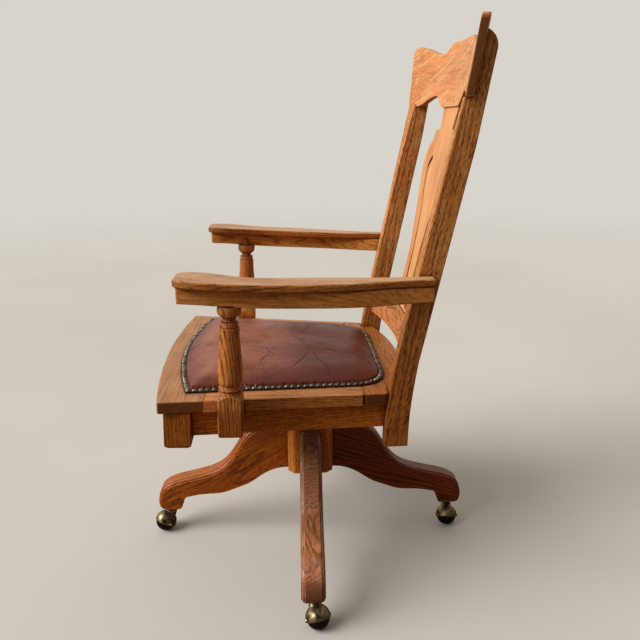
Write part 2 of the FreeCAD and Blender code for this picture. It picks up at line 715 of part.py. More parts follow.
def arm_board(stile):
    """Paddle-fronted arm board over the rail."""
    line = rail_line()
    rear = line[-1][1]
    front = RAIL_FRONT - ARM_FRONT_OVERHANG
    span = rear - front
    inner_rear = BACK_HALF_WIDTH + splay(RAIL_REAR_UNDERSIDE + RAIL_HEIGHT)
    outer = [(POST_X + 20, front), (POST_X + 32, front + 20), (POST_X + 35, front + 0.2 * span),
             (POST_X + 25, front + 0.44 * span), (POST_X + 8, front + 0.65 * span),
             (line[-1][0] + RAIL_THICK / 2 + 15, front + 0.85 * span), (line[-1][0] + RAIL_THICK / 2 + 5, rear)]
    inner = [(inner_rear + 1, rear), (inner_rear + 8, front + 0.8 * span), (POST_X - 38, front + 0.46 * span),
             (POST_X - 30, front + 0.25 * span), (POST_X - 43, front + 0.12 * span), (POST_X - 40, front + 12),
             (POST_X - 30, front)]
    runs = [outer, [outer[-1], inner[0]], inner, [inner[-1], outer[0]]]
    low = [(y, z + RAIL_HEIGHT) for y, z in rail_underside()]
    slab = face(runs, plan(RAIL_REAR_UNDERSIDE)).extrude(UP * 120)
    board = slab.common(side_band(low, ARM_THICK, 150, 400))
    board = round_edges(board, 2 * ARM_EDGE, lambda e: spans(e, "z", ARM_THICK - 1) and e.BoundBox.YMax < RAIL_FRONT)
    board = round_edges(board, ARM_EDGE, lambda e: spans(e, "y", 1) or e.BoundBox.YMax < RAIL_FRONT and not spans(e, "z", 9))
    return board.cut(stile)


def arm_post():
    """+X turned post: a square block lapped on the seat's edge, a tapered body and a cup."""
    foot = POST_FOOT
    top = POST_BLOCK_TOP
    half = POST_BLOCK / 2
    wide = POST_BLOCK_LAP * 1.25
    square = block(-POST_BLOCK_LAP, half, -half, half, foot, top + 14)
    square = round_edges(square, POST_EDGE, lambda e: spans(e, "z", POST_BLOCK) or e.BoundBox.ZMax < foot + 1)
    dome = turned([[(0, foot), (wide, foot)], [(wide, foot), (wide, top - 2)],
                   [(wide, top - 2), (half * 1.4, top + 2.5), (half * 1.1, top + 8.5), (half * 0.8, top + 14)],
                   [(half * 0.8, top + 14), (0, top + 14)], [(0, top + 14), (0, foot)]])
    block_part = square.common(dome)
    cup = RAIL_FRONT_UNDERSIDE - 6.5
    rings = top + 26
    profile = [[(0, top), (14, top)], [(14, top), (14, top + 10)],
               [(14, top + 10), (19.5, top + 11), (21, top + 13.5), (19.5, top + 16)],
               [(19.5, top + 16), (18.2, top + 17)],
               [(18.2, top + 17), (20.8, top + 18.5), (21.3, top + 20.5), (19, top + 23)],
               [(19, top + 23), (17.6, rings)],
               [(17.6, rings), (21, rings + 6), (21.9, rings + 16), (20.4, rings + 55), (17.8, cup - 39)],
               [(17.8, cup - 39), (15.2, cup - 38)],
               [(15.2, cup - 38), (16.2, cup - 35.5), (15.2, cup - 33)],
               [(15.2, cup - 33), (16.2, cup - 30.5), (14.5, cup - 28.5)],
               [(14.5, cup - 28.5), (11.2, cup - 26), (12.5, cup - 22), (18.5, cup - 17), (21, cup - 10), (19.5, cup)],
               [(19.5, cup), (POST_TENON, cup)], [(POST_TENON, cup), (POST_TENON, cup + POST_TENON_LENGTH)],
               [(POST_TENON, cup + POST_TENON_LENGTH), (0, cup + POST_TENON_LENGTH)],
               [(0, cup + POST_TENON_LENGTH), (0, top)]]
    post = block_part.fuse(turned(profile)).removeSplitter()
    post.translate(at(POST_X, POST_Y, 0))
    post.rotate(at(POST_X, POST_Y, BACK_DATUM), ALONG_X, -POST_LEAN_DEG)
    return post


# Base

def dowel_set(gap):
    """Two dowels into each leg, or their holes with a gap."""
    pieces = []
    for height in (LEG_ROOT_BOTTOM + DOWEL_RISE, HUB_TOP - DOWEL_RISE):
        start = at(HUB_HALF - DOWEL_LENGTH / 2 - gap, 0, height)
        dowel = rod(DOWEL_RADIUS + gap, start, ALONG_X, DOWEL_LENGTH + 2 * gap)
        pieces.append(dowel)
    return Part.makeCompound(pieces)


def around(shape, count=4):
    """Copies of a shape turned about the spindle."""
    copies = []
    for k in range(count):
        copy = shape.copy()
        copy.rotate(FLOOR, UP, 360 / count * k)
        copies.append(copy)
    return copies


def base_turned(shape):
    """Sets a piece of the base at the angle where the base stands."""
    turned_shape = shape.copy()
    turned_shape.rotate(FLOOR, UP, BASE_TURN_DEG)
    return turned_shape


def hub():
    """Square block with its corners planed off, bored for the iron sleeve and the dowels."""
    body = block(-HUB_HALF, HUB_HALF, -HUB_HALF, HUB_HALF, HUB_BOTTOM, HUB_TOP)
    body = body.makeChamfer(HUB_CORNER, [e for e in body.Edges if spans(e, "z", HUB_HALF)])
    body = body.makeChamfer(HUB_CHAMFER, [e for e in body.Edges if e.BoundBox.ZMax < HUB_BOTTOM + 1])
    body = body.cut(rod(SPINDLE_RADIUS + SHAFT_GAP + SLEEVE_WALL, at(0, 0, HUB_BOTTOM), UP, HUB_TOP - HUB_BOTTOM))
    for holes in around(dowel_set(SHAFT_GAP)):
        body = body.cut(holes)
    return base_turned(body)


def leg_top_line():
    """Upper edge of a leg in side view, from the hub's end of the curve to the toe."""
    return [(104, HUB_TOP - 2), (136, HUB_TOP - 13), (158, HUB_TOP - 37), (182, HUB_TOP - 76), (208, HUB_TOP - 104),
            (242, HUB_TOP - 119.5), (290, HUB_TOP - 131.5), (327, HUB_TOP - 143)]


def moulded(body, path):
    """Runs a fillet over a round along both upper edges of a leg."""
    half = LEG_THICK / 2
    for width, drop in ((MOULD_WIDTH, MOULD_FILLET), (MOULD_FILLET, MOULD_DROP)):
        cut = face(ribbon(path, 8, -drop), lambda x, z: at(x, half - width, z)).extrude(ALONG_Y * 2 * width)
        body = body.cut(cut).cut(cut.mirror(FLOOR, ALONG_Y))
    ridges = [e for e in body.Edges if e.Length > LEG_REACH / 2 and abs(abs(e.CenterOfMass.y) - half + MOULD_FILLET) < 0.1]
    highest = max(e.CenterOfMass.z for e in ridges)
    return body.makeFillet(MOULD_ROUND, [e for e in ridges if e.CenterOfMass.z > highest - MOULD_ROUND / 2])


def leg():
    """+X ogee leg, moulded along its upper edges, doweled to the hub and bored for its caster."""
    ridge = leg_top_line() + [(LEG_REACH - 8, HUB_TOP - 160), (LEG_REACH - 1, FOOT_HEIGHT + 29), (LEG_REACH, FOOT_HEIGHT + 12),
                              (LEG_REACH - 4, FOOT_HEIGHT)]
    foot_rear = LEG_REACH - FOOT_LENGTH - 4
    root = HUB_HALF
    heel = [(foot_rear, FOOT_HEIGHT), (foot_rear - 6, FOOT_HEIGHT + 10), (foot_rear - 10, FOOT_HEIGHT + 24),
            (foot_rear - 25, FOOT_HEIGHT + 32.5)]
    under = [heel[-1], (242, 96.5), (205, 99.5), (173, 110.5), (143, 123), (112, 144), (84, 157.5), (root + 8, LEG_ROOT_BOTTOM)]
    runs = [[(root, LEG_ROOT_BOTTOM), (root, HUB_TOP)], [(root, HUB_TOP), ridge[0]], ridge, [ridge[-1], heel[0]],
            heel, under, [under[-1], (root, LEG_ROOT_BOTTOM)]]
    half = LEG_THICK / 2
    body = face(runs, lambda x, z: at(x, -half, z)).extrude(ALONG_Y * LEG_THICK)
    body = moulded(body, [(root - 4, HUB_TOP), (root + 24, HUB_TOP - 0.7)] + ridge + [(LEG_REACH - 7, FOOT_HEIGHT - 6)])
    body = body.cut(dowel_set(SHAFT_GAP))
    return body.cut(rod(STEM_RADIUS + SHAFT_GAP + SOCKET_WALL, at(FOOT_CENTRE, 0, FOOT_HEIGHT), UP, STEM_LENGTH + 6))


def caster_socket():
    """Steel socket driven into a foot, with a plate under it."""
    bore = STEM_RADIUS + SHAFT_GAP
    outer = bore + SOCKET_WALL
    top = FOOT_HEIGHT + STEM_LENGTH + 6
    profile = lines((bore, FOOT_HEIGHT - SOCKET_PLATE), (SOCKET_FLANGE, FOOT_HEIGHT - SOCKET_PLATE),
                    (SOCKET_FLANGE, FOOT_HEIGHT), (outer, FOOT_HEIGHT), (outer, top), (bore, top))
    return turned(profile, at(FOOT_CENTRE, 0, 0))


# Casters, drawn with the stem on the upright axis and the ball trailing along +X

def ball_centre():
    return at(CASTER_TRAIL, 0, BALL_RADIUS)


def hood_pole():
    """Direction of the hood's crown, which leans back over the stem."""
    lean = math.radians(HOOD_LEAN_DEG)
    return at(-math.sin(lean), 0, math.cos(lean))


def caster_hood():
    """Cast hood over the ball with the neck that climbs to the stem and holes for the axle."""
    pole = hood_pole()
    centre = ball_centre()
    outer = BALL_RADIUS + HOOD_GAP + HOOD_WALL
    top = FOOT_HEIGHT - SOCKET_PLATE - RUN_GAP
    shell = Part.makeSphere(outer, centre).common(rod(outer * 2, centre - pole * HOOD_SKIRT, pole, outer * 2))
    seat = at(0, 0, top - NECK_HEIGHT)
    direction = (centre - seat).normalize()
    reach = (centre - seat).Length
    neck = Part.makeCone(NECK_RADIUS, NECK_RADIUS + 4, reach - outer + 6, seat, direction)
    collar = rod(NECK_RADIUS, at(0, 0, top - NECK_HEIGHT - 4), UP, NECK_HEIGHT + 4)
    solid = shell.fuse(neck).fuse(collar)
    solid = solid.cut(Part.makeSphere(BALL_RADIUS + HOOD_GAP, centre))
    bore = rod(AXLE_RADIUS + SHAFT_GAP, centre - ALONG_Y * outer, ALONG_Y, 2 * outer)
    stem_hole = rod(STEM_RADIUS, at(0, 0, top - NECK_HEIGHT), UP, NECK_HEIGHT)
    return solid.cut(bore).cut(stem_hole)


def caster_stem():
    """Swivel stem, riveted into the neck, with a rounded tip."""
    top = FOOT_HEIGHT - SOCKET_PLATE - RUN_GAP
    foot = top - NECK_HEIGHT
    length = STEM_LENGTH + NECK_HEIGHT
    profile = [[(0, foot), (STEM_RADIUS, foot)], [(STEM_RADIUS, foot), (STEM_RADIUS, foot + length - 3)],
               [(STEM_RADIUS, foot + length - 3), (STEM_RADIUS - 2, foot + length)],
               [(STEM_RADIUS - 2, foot + length), (0, foot + length)], [(0, foot + length), (0, foot)]]
    return turned(profile)


def caster_wheel():
    """Ball wheel on a cross axle that turns in the hood, with a domed head at each end."""
    centre = ball_centre()
    reach = BALL_RADIUS + HOOD_GAP + HOOD_WALL + RUN_GAP
    wheel = Part.makeSphere(BALL_RADIUS, centre, ALONG_Y)
    wheel = wheel.fuse(rod(AXLE_RADIUS, centre - ALONG_Y * reach, ALONG_Y, 2 * reach))
    for side in (1, -1):
        head = Part.makeCone(AXLE_HEAD_RADIUS, AXLE_RADIUS, AXLE_HEAD, centre + ALONG_Y * side * reach, ALONG_Y * side)
        wheel = wheel.fuse(head)
    return wheel.removeSplitter()


def caster_placed(shape, k):
    """Turns a caster piece to its heading and sets it under leg k."""
    placed = shape.copy()
    leg_angle = BASE_TURN_DEG + 90 * k
    placed.rotate(FLOOR, UP, CASTER_HEADINGS_DEG[k])
    angle = math.radians(leg_angle)
    placed.translate(at(FOOT_CENTRE * math.cos(angle), FOOT_CENTRE * math.sin(angle), 0))
    return placed


# Swivel and height screw

def hub_sleeve():
    """Iron sleeve in the hub with a flange on top that the chair turns on."""
    bore = SPINDLE_RADIUS + SHAFT_GAP
    outer = bore + SLEEVE_WALL
    return turned(lines((bore, HUB_BOTTOM + 2), (outer, HUB_BOTTOM + 2), (outer, HUB_TOP), (FLANGE_RADIUS, HUB_TOP),
                        (FLANGE_RADIUS, HUB_SEAT - 1.5), (FLANGE_RADIUS - 1.5, HUB_SEAT), (bore, HUB_SEAT)))


def keyway(gap, bottom, top):
    """The key that stops the spindle turning in its washer, or its groove."""
    half = KEY_WIDTH / 2 + gap
    return block(-half, half, SPINDLE_RADIUS - KEY_DEPTH - gap, SPINDLE_RADIUS + 2, bottom, top)


def thrust_washer():
    ring = turned(lines((SPINDLE_RADIUS + SHAFT_GAP, WASHER_BOTTOM), (WASHER_RADIUS, WASHER_BOTTOM),
                        (WASHER_RADIUS, WASHER_BOTTOM + WASHER_THICK), (SPINDLE_RADIUS + SHAFT_GAP, WASHER_BOTTOM + WASHER_THICK)))
    return ring.fuse(keyway(0, WASHER_BOTTOM, WASHER_BOTTOM + WASHER_THICK)).removeSplitter()


def spindle():
    """Round-threaded steel spindle, drawn at its outside diameter, with a keyway."""
    top = YOKE_BOTTOM + 26.0
    bar = rod(SPINDLE_RADIUS, at(0, 0, SPINDLE_FOOT), UP, top - SPINDLE_FOOT)
    bar = bar.makeChamfer(2.0, [e for e in bar.Edges if e.BoundBox.ZMax < SPINDLE_FOOT + 1])
    return bar.cut(keyway(SHAFT_GAP, SPINDLE_FOOT - 1, YOKE_BOTTOM))


def lobed_rim(radius, lobes, bottom, top, bite):
    """A disc with scallops round its edge for the fingers."""
    disc = rod(radius, at(0, 0, bottom), UP, top - bottom)
    for k in range(lobes):
        angle = 2 * math.pi * (k + 0.5) / lobes
        centre = at((radius + bite * 0.55) * math.cos(angle), (radius + bite * 0.55) * math.sin(angle), bottom)
        disc = disc.cut(rod(bite, centre, UP, top - bottom))
    return disc


def hand_nut():
    """Cast hand nut that raises the seat."""
    hub_body = rod(NUT_HUB_RADIUS, at(0, 0, NUT_BOTTOM), UP, NUT_HEIGHT)
    middle = NUT_BOTTOM + NUT_HEIGHT / 2
    rim = lobed_rim(NUT_RIM_RADIUS, NUT_LOBES, middle - NUT_RIM_THICK / 2, middle + NUT_RIM_THICK / 2, 9.0)
    nut = hub_body.fuse(rim)
    return nut.cut(rod(SPINDLE_RADIUS + SHAFT_GAP, at(0, 0, NUT_BOTTOM), UP, NUT_HEIGHT))


# Tilting iron

def yoke():
    """Casting on the spindle: a barrel for the tilt pin, a front arm for the spring and a rear stop arm."""
    seat = rod(YOKE_HUB_RADIUS, at(0, 0, YOKE_BOTTOM), UP, PIVOT_HEIGHT - YOKE_BOTTOM)
    barrel = rod(BARREL_RADIUS, at(-BARREL_HALF, 0, PIVOT_HEIGHT), ALONG_X, 2 * BARREL_HALF)
    side = [(ROD_Y, YOKE_ARM_UNDER), (ROD_Y, YOKE_ARM_TOP), (REAR_ARM_LENGTH, YOKE_ARM_TOP),
            (REAR_ARM_LENGTH, YOKE_ARM_UNDER), (YOKE_HUB_RADIUS - 4, YOKE_BOTTOM + 14), (-YOKE_HUB_RADIUS + 4, YOKE_BOTTOM + 14),
            (ROD_Y + TENSION_WASHER_RADIUS + 14, YOKE_ARM_UNDER)]
    rib_half = 6.0
    rib = face(lines(*side), lambda y, z: at(-rib_half, y, z)).extrude(ALONG_X * 2 * rib_half)
    arm = block(-YOKE_ARM_HALF, YOKE_ARM_HALF, ROD_Y, REAR_ARM_LENGTH, YOKE_ARM_UNDER, YOKE_ARM_TOP)
    pad = rod(YOKE_ARM_HALF, at(0, ROD_Y, YOKE_ARM_UNDER), UP, YOKE_ARM_THICK)
    web = block(-BARREL_HALF + 8, BARREL_HALF - 8, -8, 8, YOKE_ARM_UNDER, PIVOT_HEIGHT)
    body = seat.fuse(barrel).fuse(rib).fuse(arm).fuse(pad).fuse(web)
    slot = rod(ROD_RADIUS + ROD_SLOT, at(0, ROD_Y, YOKE_ARM_UNDER), UP, YOKE_ARM_THICK)
    slot = slot.fuse(rod(ROD_RADIUS + ROD_SLOT, at(0, ROD_Y + ROD_SLOT, YOKE_ARM_UNDER), UP, YOKE_ARM_THICK))
    body = body.cut(slot)
    body = body.cut(rod(PIVOT_PIN_RADIUS + SHAFT_GAP, at(-BARREL_HALF, 0, PIVOT_HEIGHT), ALONG_X, 2 * BARREL_HALF))
    return body.cut(rod(SPINDLE_RADIUS, at(0, 0, YOKE_BOTTOM), UP, 26.0))


def iron_screw_places():
    """Plan places of the screws through the +X seat iron."""
    x = CLEAT_OFFSET
    reach = IRON_HALF_LENGTH - 14
    return [(x, y) for y in (-reach, -reach / 2.4, reach / 2.4, reach)]


def iron_screw_set(gap):
    """Screws of the +X iron with their heads, or their holes with a gap."""
    bottom = CLEAT_UNDER - IRON_FLANGE_THICK
    pieces = []
    for x, y in iron_screw_places():
        shank = rod(IRON_SCREW_RADIUS + gap, at(x, y, bottom), UP, IRON_SCREW_LENGTH)
        head = Part.makeCone(IRON_SCREW_RADIUS * 2 + gap, IRON_SCREW_RADIUS + gap, IRON_SCREW_RADIUS, at(x, y, bottom), UP)
        pieces.append(shank.fuse(head).removeSplitter())
    return Part.makeCompound(pieces)


def seat_iron():
    """+X arm of the tilting iron: a flange under its cleat, a web and two bosses."""
    bottom = CLEAT_UNDER - IRON_FLANGE_THICK
    web_start = IRON_INNER + 4
    outer = CLEAT_OFFSET + 19
    flange = block(web_start, outer, -IRON_HALF_LENGTH, IRON_HALF_LENGTH, bottom, CLEAT_UNDER)
    flange = round_edges(flange, 12.0, lambda e: e.BoundBox.ZLength > 5 and e.BoundBox.XMin > outer - 1)
    low = PIVOT_HEIGHT - 10
    side = [[(-IRON_HALF_LENGTH, bottom), (-IRON_HALF_LENGTH, bottom + 2)],
            [(-IRON_HALF_LENGTH, bottom + 2), (IRON_HALF_LENGTH, bottom + 2)],
            [(IRON_HALF_LENGTH, bottom + 2), (IRON_HALF_LENGTH, bottom)],
            [(IRON_HALF_LENGTH, bottom), (60, bottom - 6), (12, low)], [(12, low), (-12, low)],
            [(-12, low), (-50, low + 4), (-ROD_REACH, low + 3)],
            [(-ROD_REACH, low + 3), (-ROD_REACH - 14, low + 12), (-IRON_HALF_LENGTH, bottom)]]
    web = face(side, lambda y, z: at(web_start, y, z)).extrude(ALONG_X * IRON_WEB)
    boss = rod(IRON_BOSS_RADIUS, at(IRON_INNER, 0, PIVOT_HEIGHT), ALONG_X, IRON_BOSS_LENGTH)
    front_boss = rod(ROD_EYE_RADIUS, at(IRON_INNER, -ROD_REACH, PIVOT_HEIGHT), ALONG_X, IRON_BOSS_LENGTH - 3)
    body = flange.fuse(web).fuse(boss).fuse(front_boss)
    body = body.cut(rod(PIVOT_PIN_RADIUS, at(IRON_INNER, 0, PIVOT_HEIGHT), ALONG_X, IRON_BOSS_LENGTH))
    body = body.cut(rod(CROSS_PIN_RADIUS, at(IRON_INNER, -ROD_REACH, PIVOT_HEIGHT), ALONG_X, IRON_BOSS_LENGTH))
    return body.cut(iron_screw_set(0.0))


def cross_bar(radius, y, half):
    """A pin across the iron with chamfered ends."""
    pin = rod(radius, at(-half, y, PIVOT_HEIGHT), ALONG_X, 2 * half)
    return pin.makeChamfer(1.2, [e for e in pin.Edges if e.BoundBox.XLength < 0.1])


def tension_rod():
    """Eye bolt that hangs from the cross pin and carries the spring."""
    eye = rod(ROD_EYE_RADIUS, at(-ROD_EYE_HALF, ROD_Y, ROD_PIN_HEIGHT), ALONG_X, 2 * ROD_EYE_HALF)
    shank = rod(ROD_RADIUS, at(0, ROD_Y, ROD_TIP), UP, ROD_PIN_HEIGHT - ROD_TIP)
    bore = rod(CROSS_PIN_RADIUS + SHAFT_GAP, at(-ROD_EYE_HALF, ROD_Y, ROD_PIN_HEIGHT), ALONG_X, 2 * ROD_EYE_HALF)
    return eye.fuse(shank).cut(bore)


def tension_spring():
    """Coil spring between the yoke's arm and the tension washer."""
    low = TENSION_WASHER_TOP + RUN_GAP
    high = YOKE_ARM_UNDER - RUN_GAP
    wire = SPRING_WIRE / 2
    rise = high - low - SPRING_WIRE
    helix = Part.makeHelix(rise / SPRING_TURNS, rise, SPRING_RADIUS)
    ring = Part.Wire(Part.makeCircle(wire, at(SPRING_RADIUS, 0, 0), ALONG_Y))
    coil = Part.Wire(helix).makePipeShell([ring], True, True)
    coil.translate(at(0, ROD_Y, low + wire))
    return coil


def tension_washer():
    return turned(lines((ROD_RADIUS + SHAFT_GAP, TENSION_WASHER_BOTTOM), (TENSION_WASHER_RADIUS, TENSION_WASHER_BOTTOM),
                        (TENSION_WASHER_RADIUS, TENSION_WASHER_TOP), (ROD_RADIUS + SHAFT_GAP, TENSION_WASHER_TOP)),
                  at(0, ROD_Y, 0))


def tension_knob():
    """Hand knob that sets the spring."""
    rim = lobed_rim(KNOB_RADIUS, KNOB_LOBES, KNOB_BOTTOM, KNOB_TOP - 5, 7.0)
    neck = rod(KNOB_RADIUS * 0.5, at(0, 0, KNOB_TOP - 5), UP, 5)
    knob = rim.fuse(neck).cut(rod(ROD_RADIUS + SHAFT_GAP, at(0, 0, KNOB_BOTTOM), UP, KNOB_HEIGHT))
    knob.translate(at(0, ROD_Y, 0))
    return knob


def bolt_set(head_length):
    """Bolts through the stiles into the side aprons, or their holes with room behind the heads."""
    pieces = []
    for z in (SEAT_UNDER - 19, APRON_BOTTOM + 10):
        back = STILE_FRONT + 37.0 + (z - APRON_BOTTOM) * 0.04 - BOLT_SINK
        shank = rod(BOLT_RADIUS, at(BOLT_X, back - BOLT_LENGTH, z), ALONG_Y, BOLT_LENGTH)
        head = rod(BOLT_HEAD, at(BOLT_X, back - BOLT_HEAD_THICK, z), ALONG_Y, head_length)
        pieces.append(shank.fuse(head).removeSplitter())
    return Part.makeCompound(pieces + [other_side(piece) for piece in pieces])


def build():
    """Every node of the chair, by name."""
    nodes = {}
    post = arm_post()
    bolts = bolt_set(BOLT_HEAD_THICK)
    bolt_holes = bolt_set(BOLT_HEAD_THICK + 4 * BOLT_SINK)
    board = splat()
    lower_rail = lower_rail_bar()
    stile = raw_stile().cut(crest_seat()).cut(stile_bevel()).cut(lower_rail)
    stiles = Part.makeCompound([stile, other_side(stile)])

    nodes["hub"] = hub()
    for k, heading in enumerate(("left", "rear", "right", "front")):
        nodes["leg_" + heading] = base_turned(around(leg())[k])
        nodes["caster_hood_" + heading] = caster_placed(caster_hood(), k)
        nodes["caster_stem_" + heading] = caster_placed(caster_stem(), k)
        nodes["caster_wheel_" + heading] = caster_placed(caster_wheel(), k)
    nodes["leg_dowels"] = base_turned(Part.makeCompound(around(dowel_set(0.0))))
    nodes["caster_sockets"] = base_turned(Part.makeCompound(around(caster_socket())))
    nodes["hub_sleeve"] = hub_sleeve()

    nodes["thrust_washer"] = thrust_washer()
    nodes["hand_nut"] = hand_nut()
    nodes["spindle"] = spindle()
    nodes["yoke"] = yoke()
    nodes["tension_spring"] = tension_spring()
    nodes["tension_rod"] = tension_rod()
    nodes["tension_washer"] = tension_washer()
    nodes["tension_knob"] = tension_knob()

    screws = iron_screw_set(0.0)
    level_post = levelled(post)
    level_stiles = levelled(stiles)
    seat = {}
    seat["seat_iron_left"] = seat_iron()
    seat["seat_iron_right"] = other_side(seat_iron())
    seat["tilt_pin"] = cross_bar(PIVOT_PIN_RADIUS, 0, IRON_INNER + IRON_BOSS_LENGTH + 4)
    seat["cross_pin"] = cross_bar(CROSS_PIN_RADIUS, -ROD_REACH, IRON_INNER + IRON_BOSS_LENGTH)
    seat["iron_screws"] = Part.makeCompound([screws, other_side(screws)])
    seat["seat_front_board"] = seat_front_board()
    seat["seat_left_board"] = seat_side_board(level_post)
    seat["seat_right_board"] = other_side(seat_side_board(level_post))
    seat["seat_rear_board"] = seat_rear_board(level_stiles)
    seat["seat_panel"] = panel_block(0.0)
    seat["leather_pad"] = leather_pad()
    seat["front_apron"] = front_apron()
    seat["rear_apron"] = rear_apron()
    apron = side_apron(level_stiles).cut(levelled(bolts))
    seat["left_apron"] = apron
    seat["right_apron"] = other_side(apron)
    seat["left_stub_post"] = stub_post()
    seat["right_stub_post"] = other_side(stub_post())
    seat["corner_blocks"] = corner_blocks()
    seat["seat_cleats"] = seat_cleats()
    seat["packing_blocks"] = packing_blocks(level_post)
    for name, shape in seat.items():
        nodes[name] = sloped(shape)

    nodes["left_arm_post"] = post
    nodes["right_arm_post"] = other_side(post)
    rail = arm_rail(post, stile)
    nodes["left_arm_rail"] = rail
    nodes["right_arm_rail"] = other_side(rail)
    nodes["left_arm_board"] = arm_board(stile)
    nodes["right_arm_board"] = other_side(arm_board(stile))

    nodes["left_stile"] = stile.cut(bolt_holes)
    nodes["right_stile"] = other_side(stile).cut(bolt_holes)
    nodes["lower_back_rail"] = lower_rail.cut(board)
    nodes["splat"] = board
    nodes["crest_rail"] = crest_rail(board, stiles)
    nodes["stile_bolts"] = bolts
    return nodes


os.makedirs("parts", exist_ok=True)
for name, shape in build().items():
    shape.exportStep("parts/" + name + ".step")
    sound = shape.isValid() and all(solid.isClosed() for solid in shape.Solids)
    print(name, len(shape.Solids), round(shape.Volume / 1000, 2), "sound" if sound else "UNSOUND")
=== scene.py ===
"""Finishes, upholstery and small hardware of an oak bankers swivel chair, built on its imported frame."""
import json
import math
import random

import bpy
from bpy.props import FloatProperty, FloatVectorProperty, IntProperty, PointerProperty
from mathutils import Matrix, Vector, noise
from mathutils.kdtree import KDTree


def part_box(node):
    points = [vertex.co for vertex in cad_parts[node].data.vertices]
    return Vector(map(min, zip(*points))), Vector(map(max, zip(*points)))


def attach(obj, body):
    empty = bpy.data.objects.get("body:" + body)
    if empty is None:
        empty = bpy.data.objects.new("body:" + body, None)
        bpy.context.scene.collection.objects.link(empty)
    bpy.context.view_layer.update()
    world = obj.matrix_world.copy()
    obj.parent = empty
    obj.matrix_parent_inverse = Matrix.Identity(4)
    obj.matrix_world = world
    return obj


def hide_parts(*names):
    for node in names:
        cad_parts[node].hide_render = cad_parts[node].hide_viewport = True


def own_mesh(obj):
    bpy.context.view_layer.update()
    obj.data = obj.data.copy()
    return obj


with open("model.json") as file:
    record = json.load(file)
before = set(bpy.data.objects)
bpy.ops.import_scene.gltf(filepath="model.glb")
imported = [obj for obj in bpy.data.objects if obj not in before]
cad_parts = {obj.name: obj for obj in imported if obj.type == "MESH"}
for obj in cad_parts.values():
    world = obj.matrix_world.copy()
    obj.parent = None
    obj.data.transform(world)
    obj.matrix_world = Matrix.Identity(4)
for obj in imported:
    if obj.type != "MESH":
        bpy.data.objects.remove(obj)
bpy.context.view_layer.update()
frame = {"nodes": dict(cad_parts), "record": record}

bl_info = {
    "name": "Bankers swivel chair finishes",
    "version": (1, 0, 0),
    "blender": (4, 5, 0),
    "location": "View3D > Sidebar > Chair",
    "description": "Oak, leather, nails and ironwork for a tilting swivel chair",
    "category": "Object",
}

MM = 0.001

# How the seat lies on the iron: drawn level, then sloped back about the tilt pin
SEAT_SLOPE = math.radians(-2.2)
TILT_PIN = Vector((0, 0, 0.376))
SEAT_TOP = 0.4355
SEAT_SET = Matrix.Translation(TILT_PIN) @ Matrix.Rotation(SEAT_SLOPE, 4, "X") @ Matrix.Translation(-TILT_PIN)

# The pad: its nailed border, what the stuffing lifts, the dip that sitting wore, and its creases
OUTLINE_STEP = 0.0025
NAILED_BORDER = 0.012
HELD_BORDER = 0.014
HELD_FOOT = 0.002
PAD_FOOT = 0.0015
BORDER_LIFT = 0.0024
REDDER_BORDER = 0.085
STUFFING_FRAMES = 20
STUFFING_CAP = 0.006
STUFFING_RISE = 0.0095
STUFFING_SHOULDER = 0.06
FOLD_SHOULDER = 0.02
WORN_DIP = 0.003
WORN_DIP_REACH = 0.11
CREASE_HEART = Vector((0.065, 0.0))
CREASE_STEP = 0.0075
CREASE_REACH = 0.0034
CREASE_DEPTH = 0.0011
# Lumps in the stuffing: how many in a metre, their place in the noise and their height
LUMPS = ((14, 0.3, 0.0022), (42, 4.0, 0.0006))
TUCKS = (190, 170)
TUCK_HEIGHT = 0.0003

# How high the band and the nails' heads lie over the level seat, and how far a head domes
BAND_LIFT = 0.0026
BAND_RISE = 0.0012
NAIL_LIFT = 0.0040
NAIL_DOME = 0.58

# Iron and casters
SPRING_TOP = Vector((0, -0.0849, 0.3544))
SPRING_SPLIT = Vector((0, -0.0849, 0.3187))
SPRING_TILT_KEEP = 0.507
SPRING_TRAVEL_KEEP = 0.355
THREAD_PITCH = 0.00635
THREAD_DEPTH = 0.0022
BALL_RADIUS = 0.0225
RIVET_STAND = 0.0004
CASTERS = ("left", "rear", "right", "front")

# Edges: what merges, what counts as flat and what counts as sharp
MERGED = 0.00002
FLAT = math.radians(0.6)
SHARP = math.radians(32)

# Worn colours, a pale colour that is partly wear and partly a painted sheen on upward faces, and the painted shade that
# multiplies a colour
# Partly wear and partly a painted sheen: the pale colour of upward faces
TOP_SHEEN_AND_WEAR = (222, 178, 134)
SHOE_SCUFFED = (214, 146, 74)
METAL_RUBBED = (255, 255, 217.5)
# Painted shade for the lower stiles and arm posts, low down under the arms and seat
FOOT_SHADE = (0.62, 0.50, 0.34, 1.0)
# Painted shade: the colour that darkens corners where pieces meet
CORNER_SHADE = (0.34, 0.22, 0.14, 1.0)
CORNER_REACH = 0.013


# Shop helpers

def only(*pieces):
    """Selects just these pieces, the first one active."""
    if bpy.context.mode != "OBJECT":
        bpy.ops.object.mode_set(mode="OBJECT")
    bpy.ops.object.select_all(action="DESELECT")
    for piece in pieces:
        piece.select_set(True)
    bpy.context.view_layer.objects.active = pieces[0]


def edit(piece):
    """Opens a piece in edit mode with all of it selected."""
    only(piece)
    bpy.ops.object.mode_set(mode="EDIT")
    bpy.ops.mesh.select_mode(type="VERT")
    bpy.ops.mesh.select_all(action="SELECT")


def done():
    bpy.ops.object.mode_set(mode="OBJECT")


def added(name):
    """The primitive that was just added, under its name."""
    piece = bpy.context.object
    piece.name = name
    return piece


def face_outwards(piece):
    edit(piece)
    bpy.ops.mesh.normals_make_consistent(inside=False)
    done()


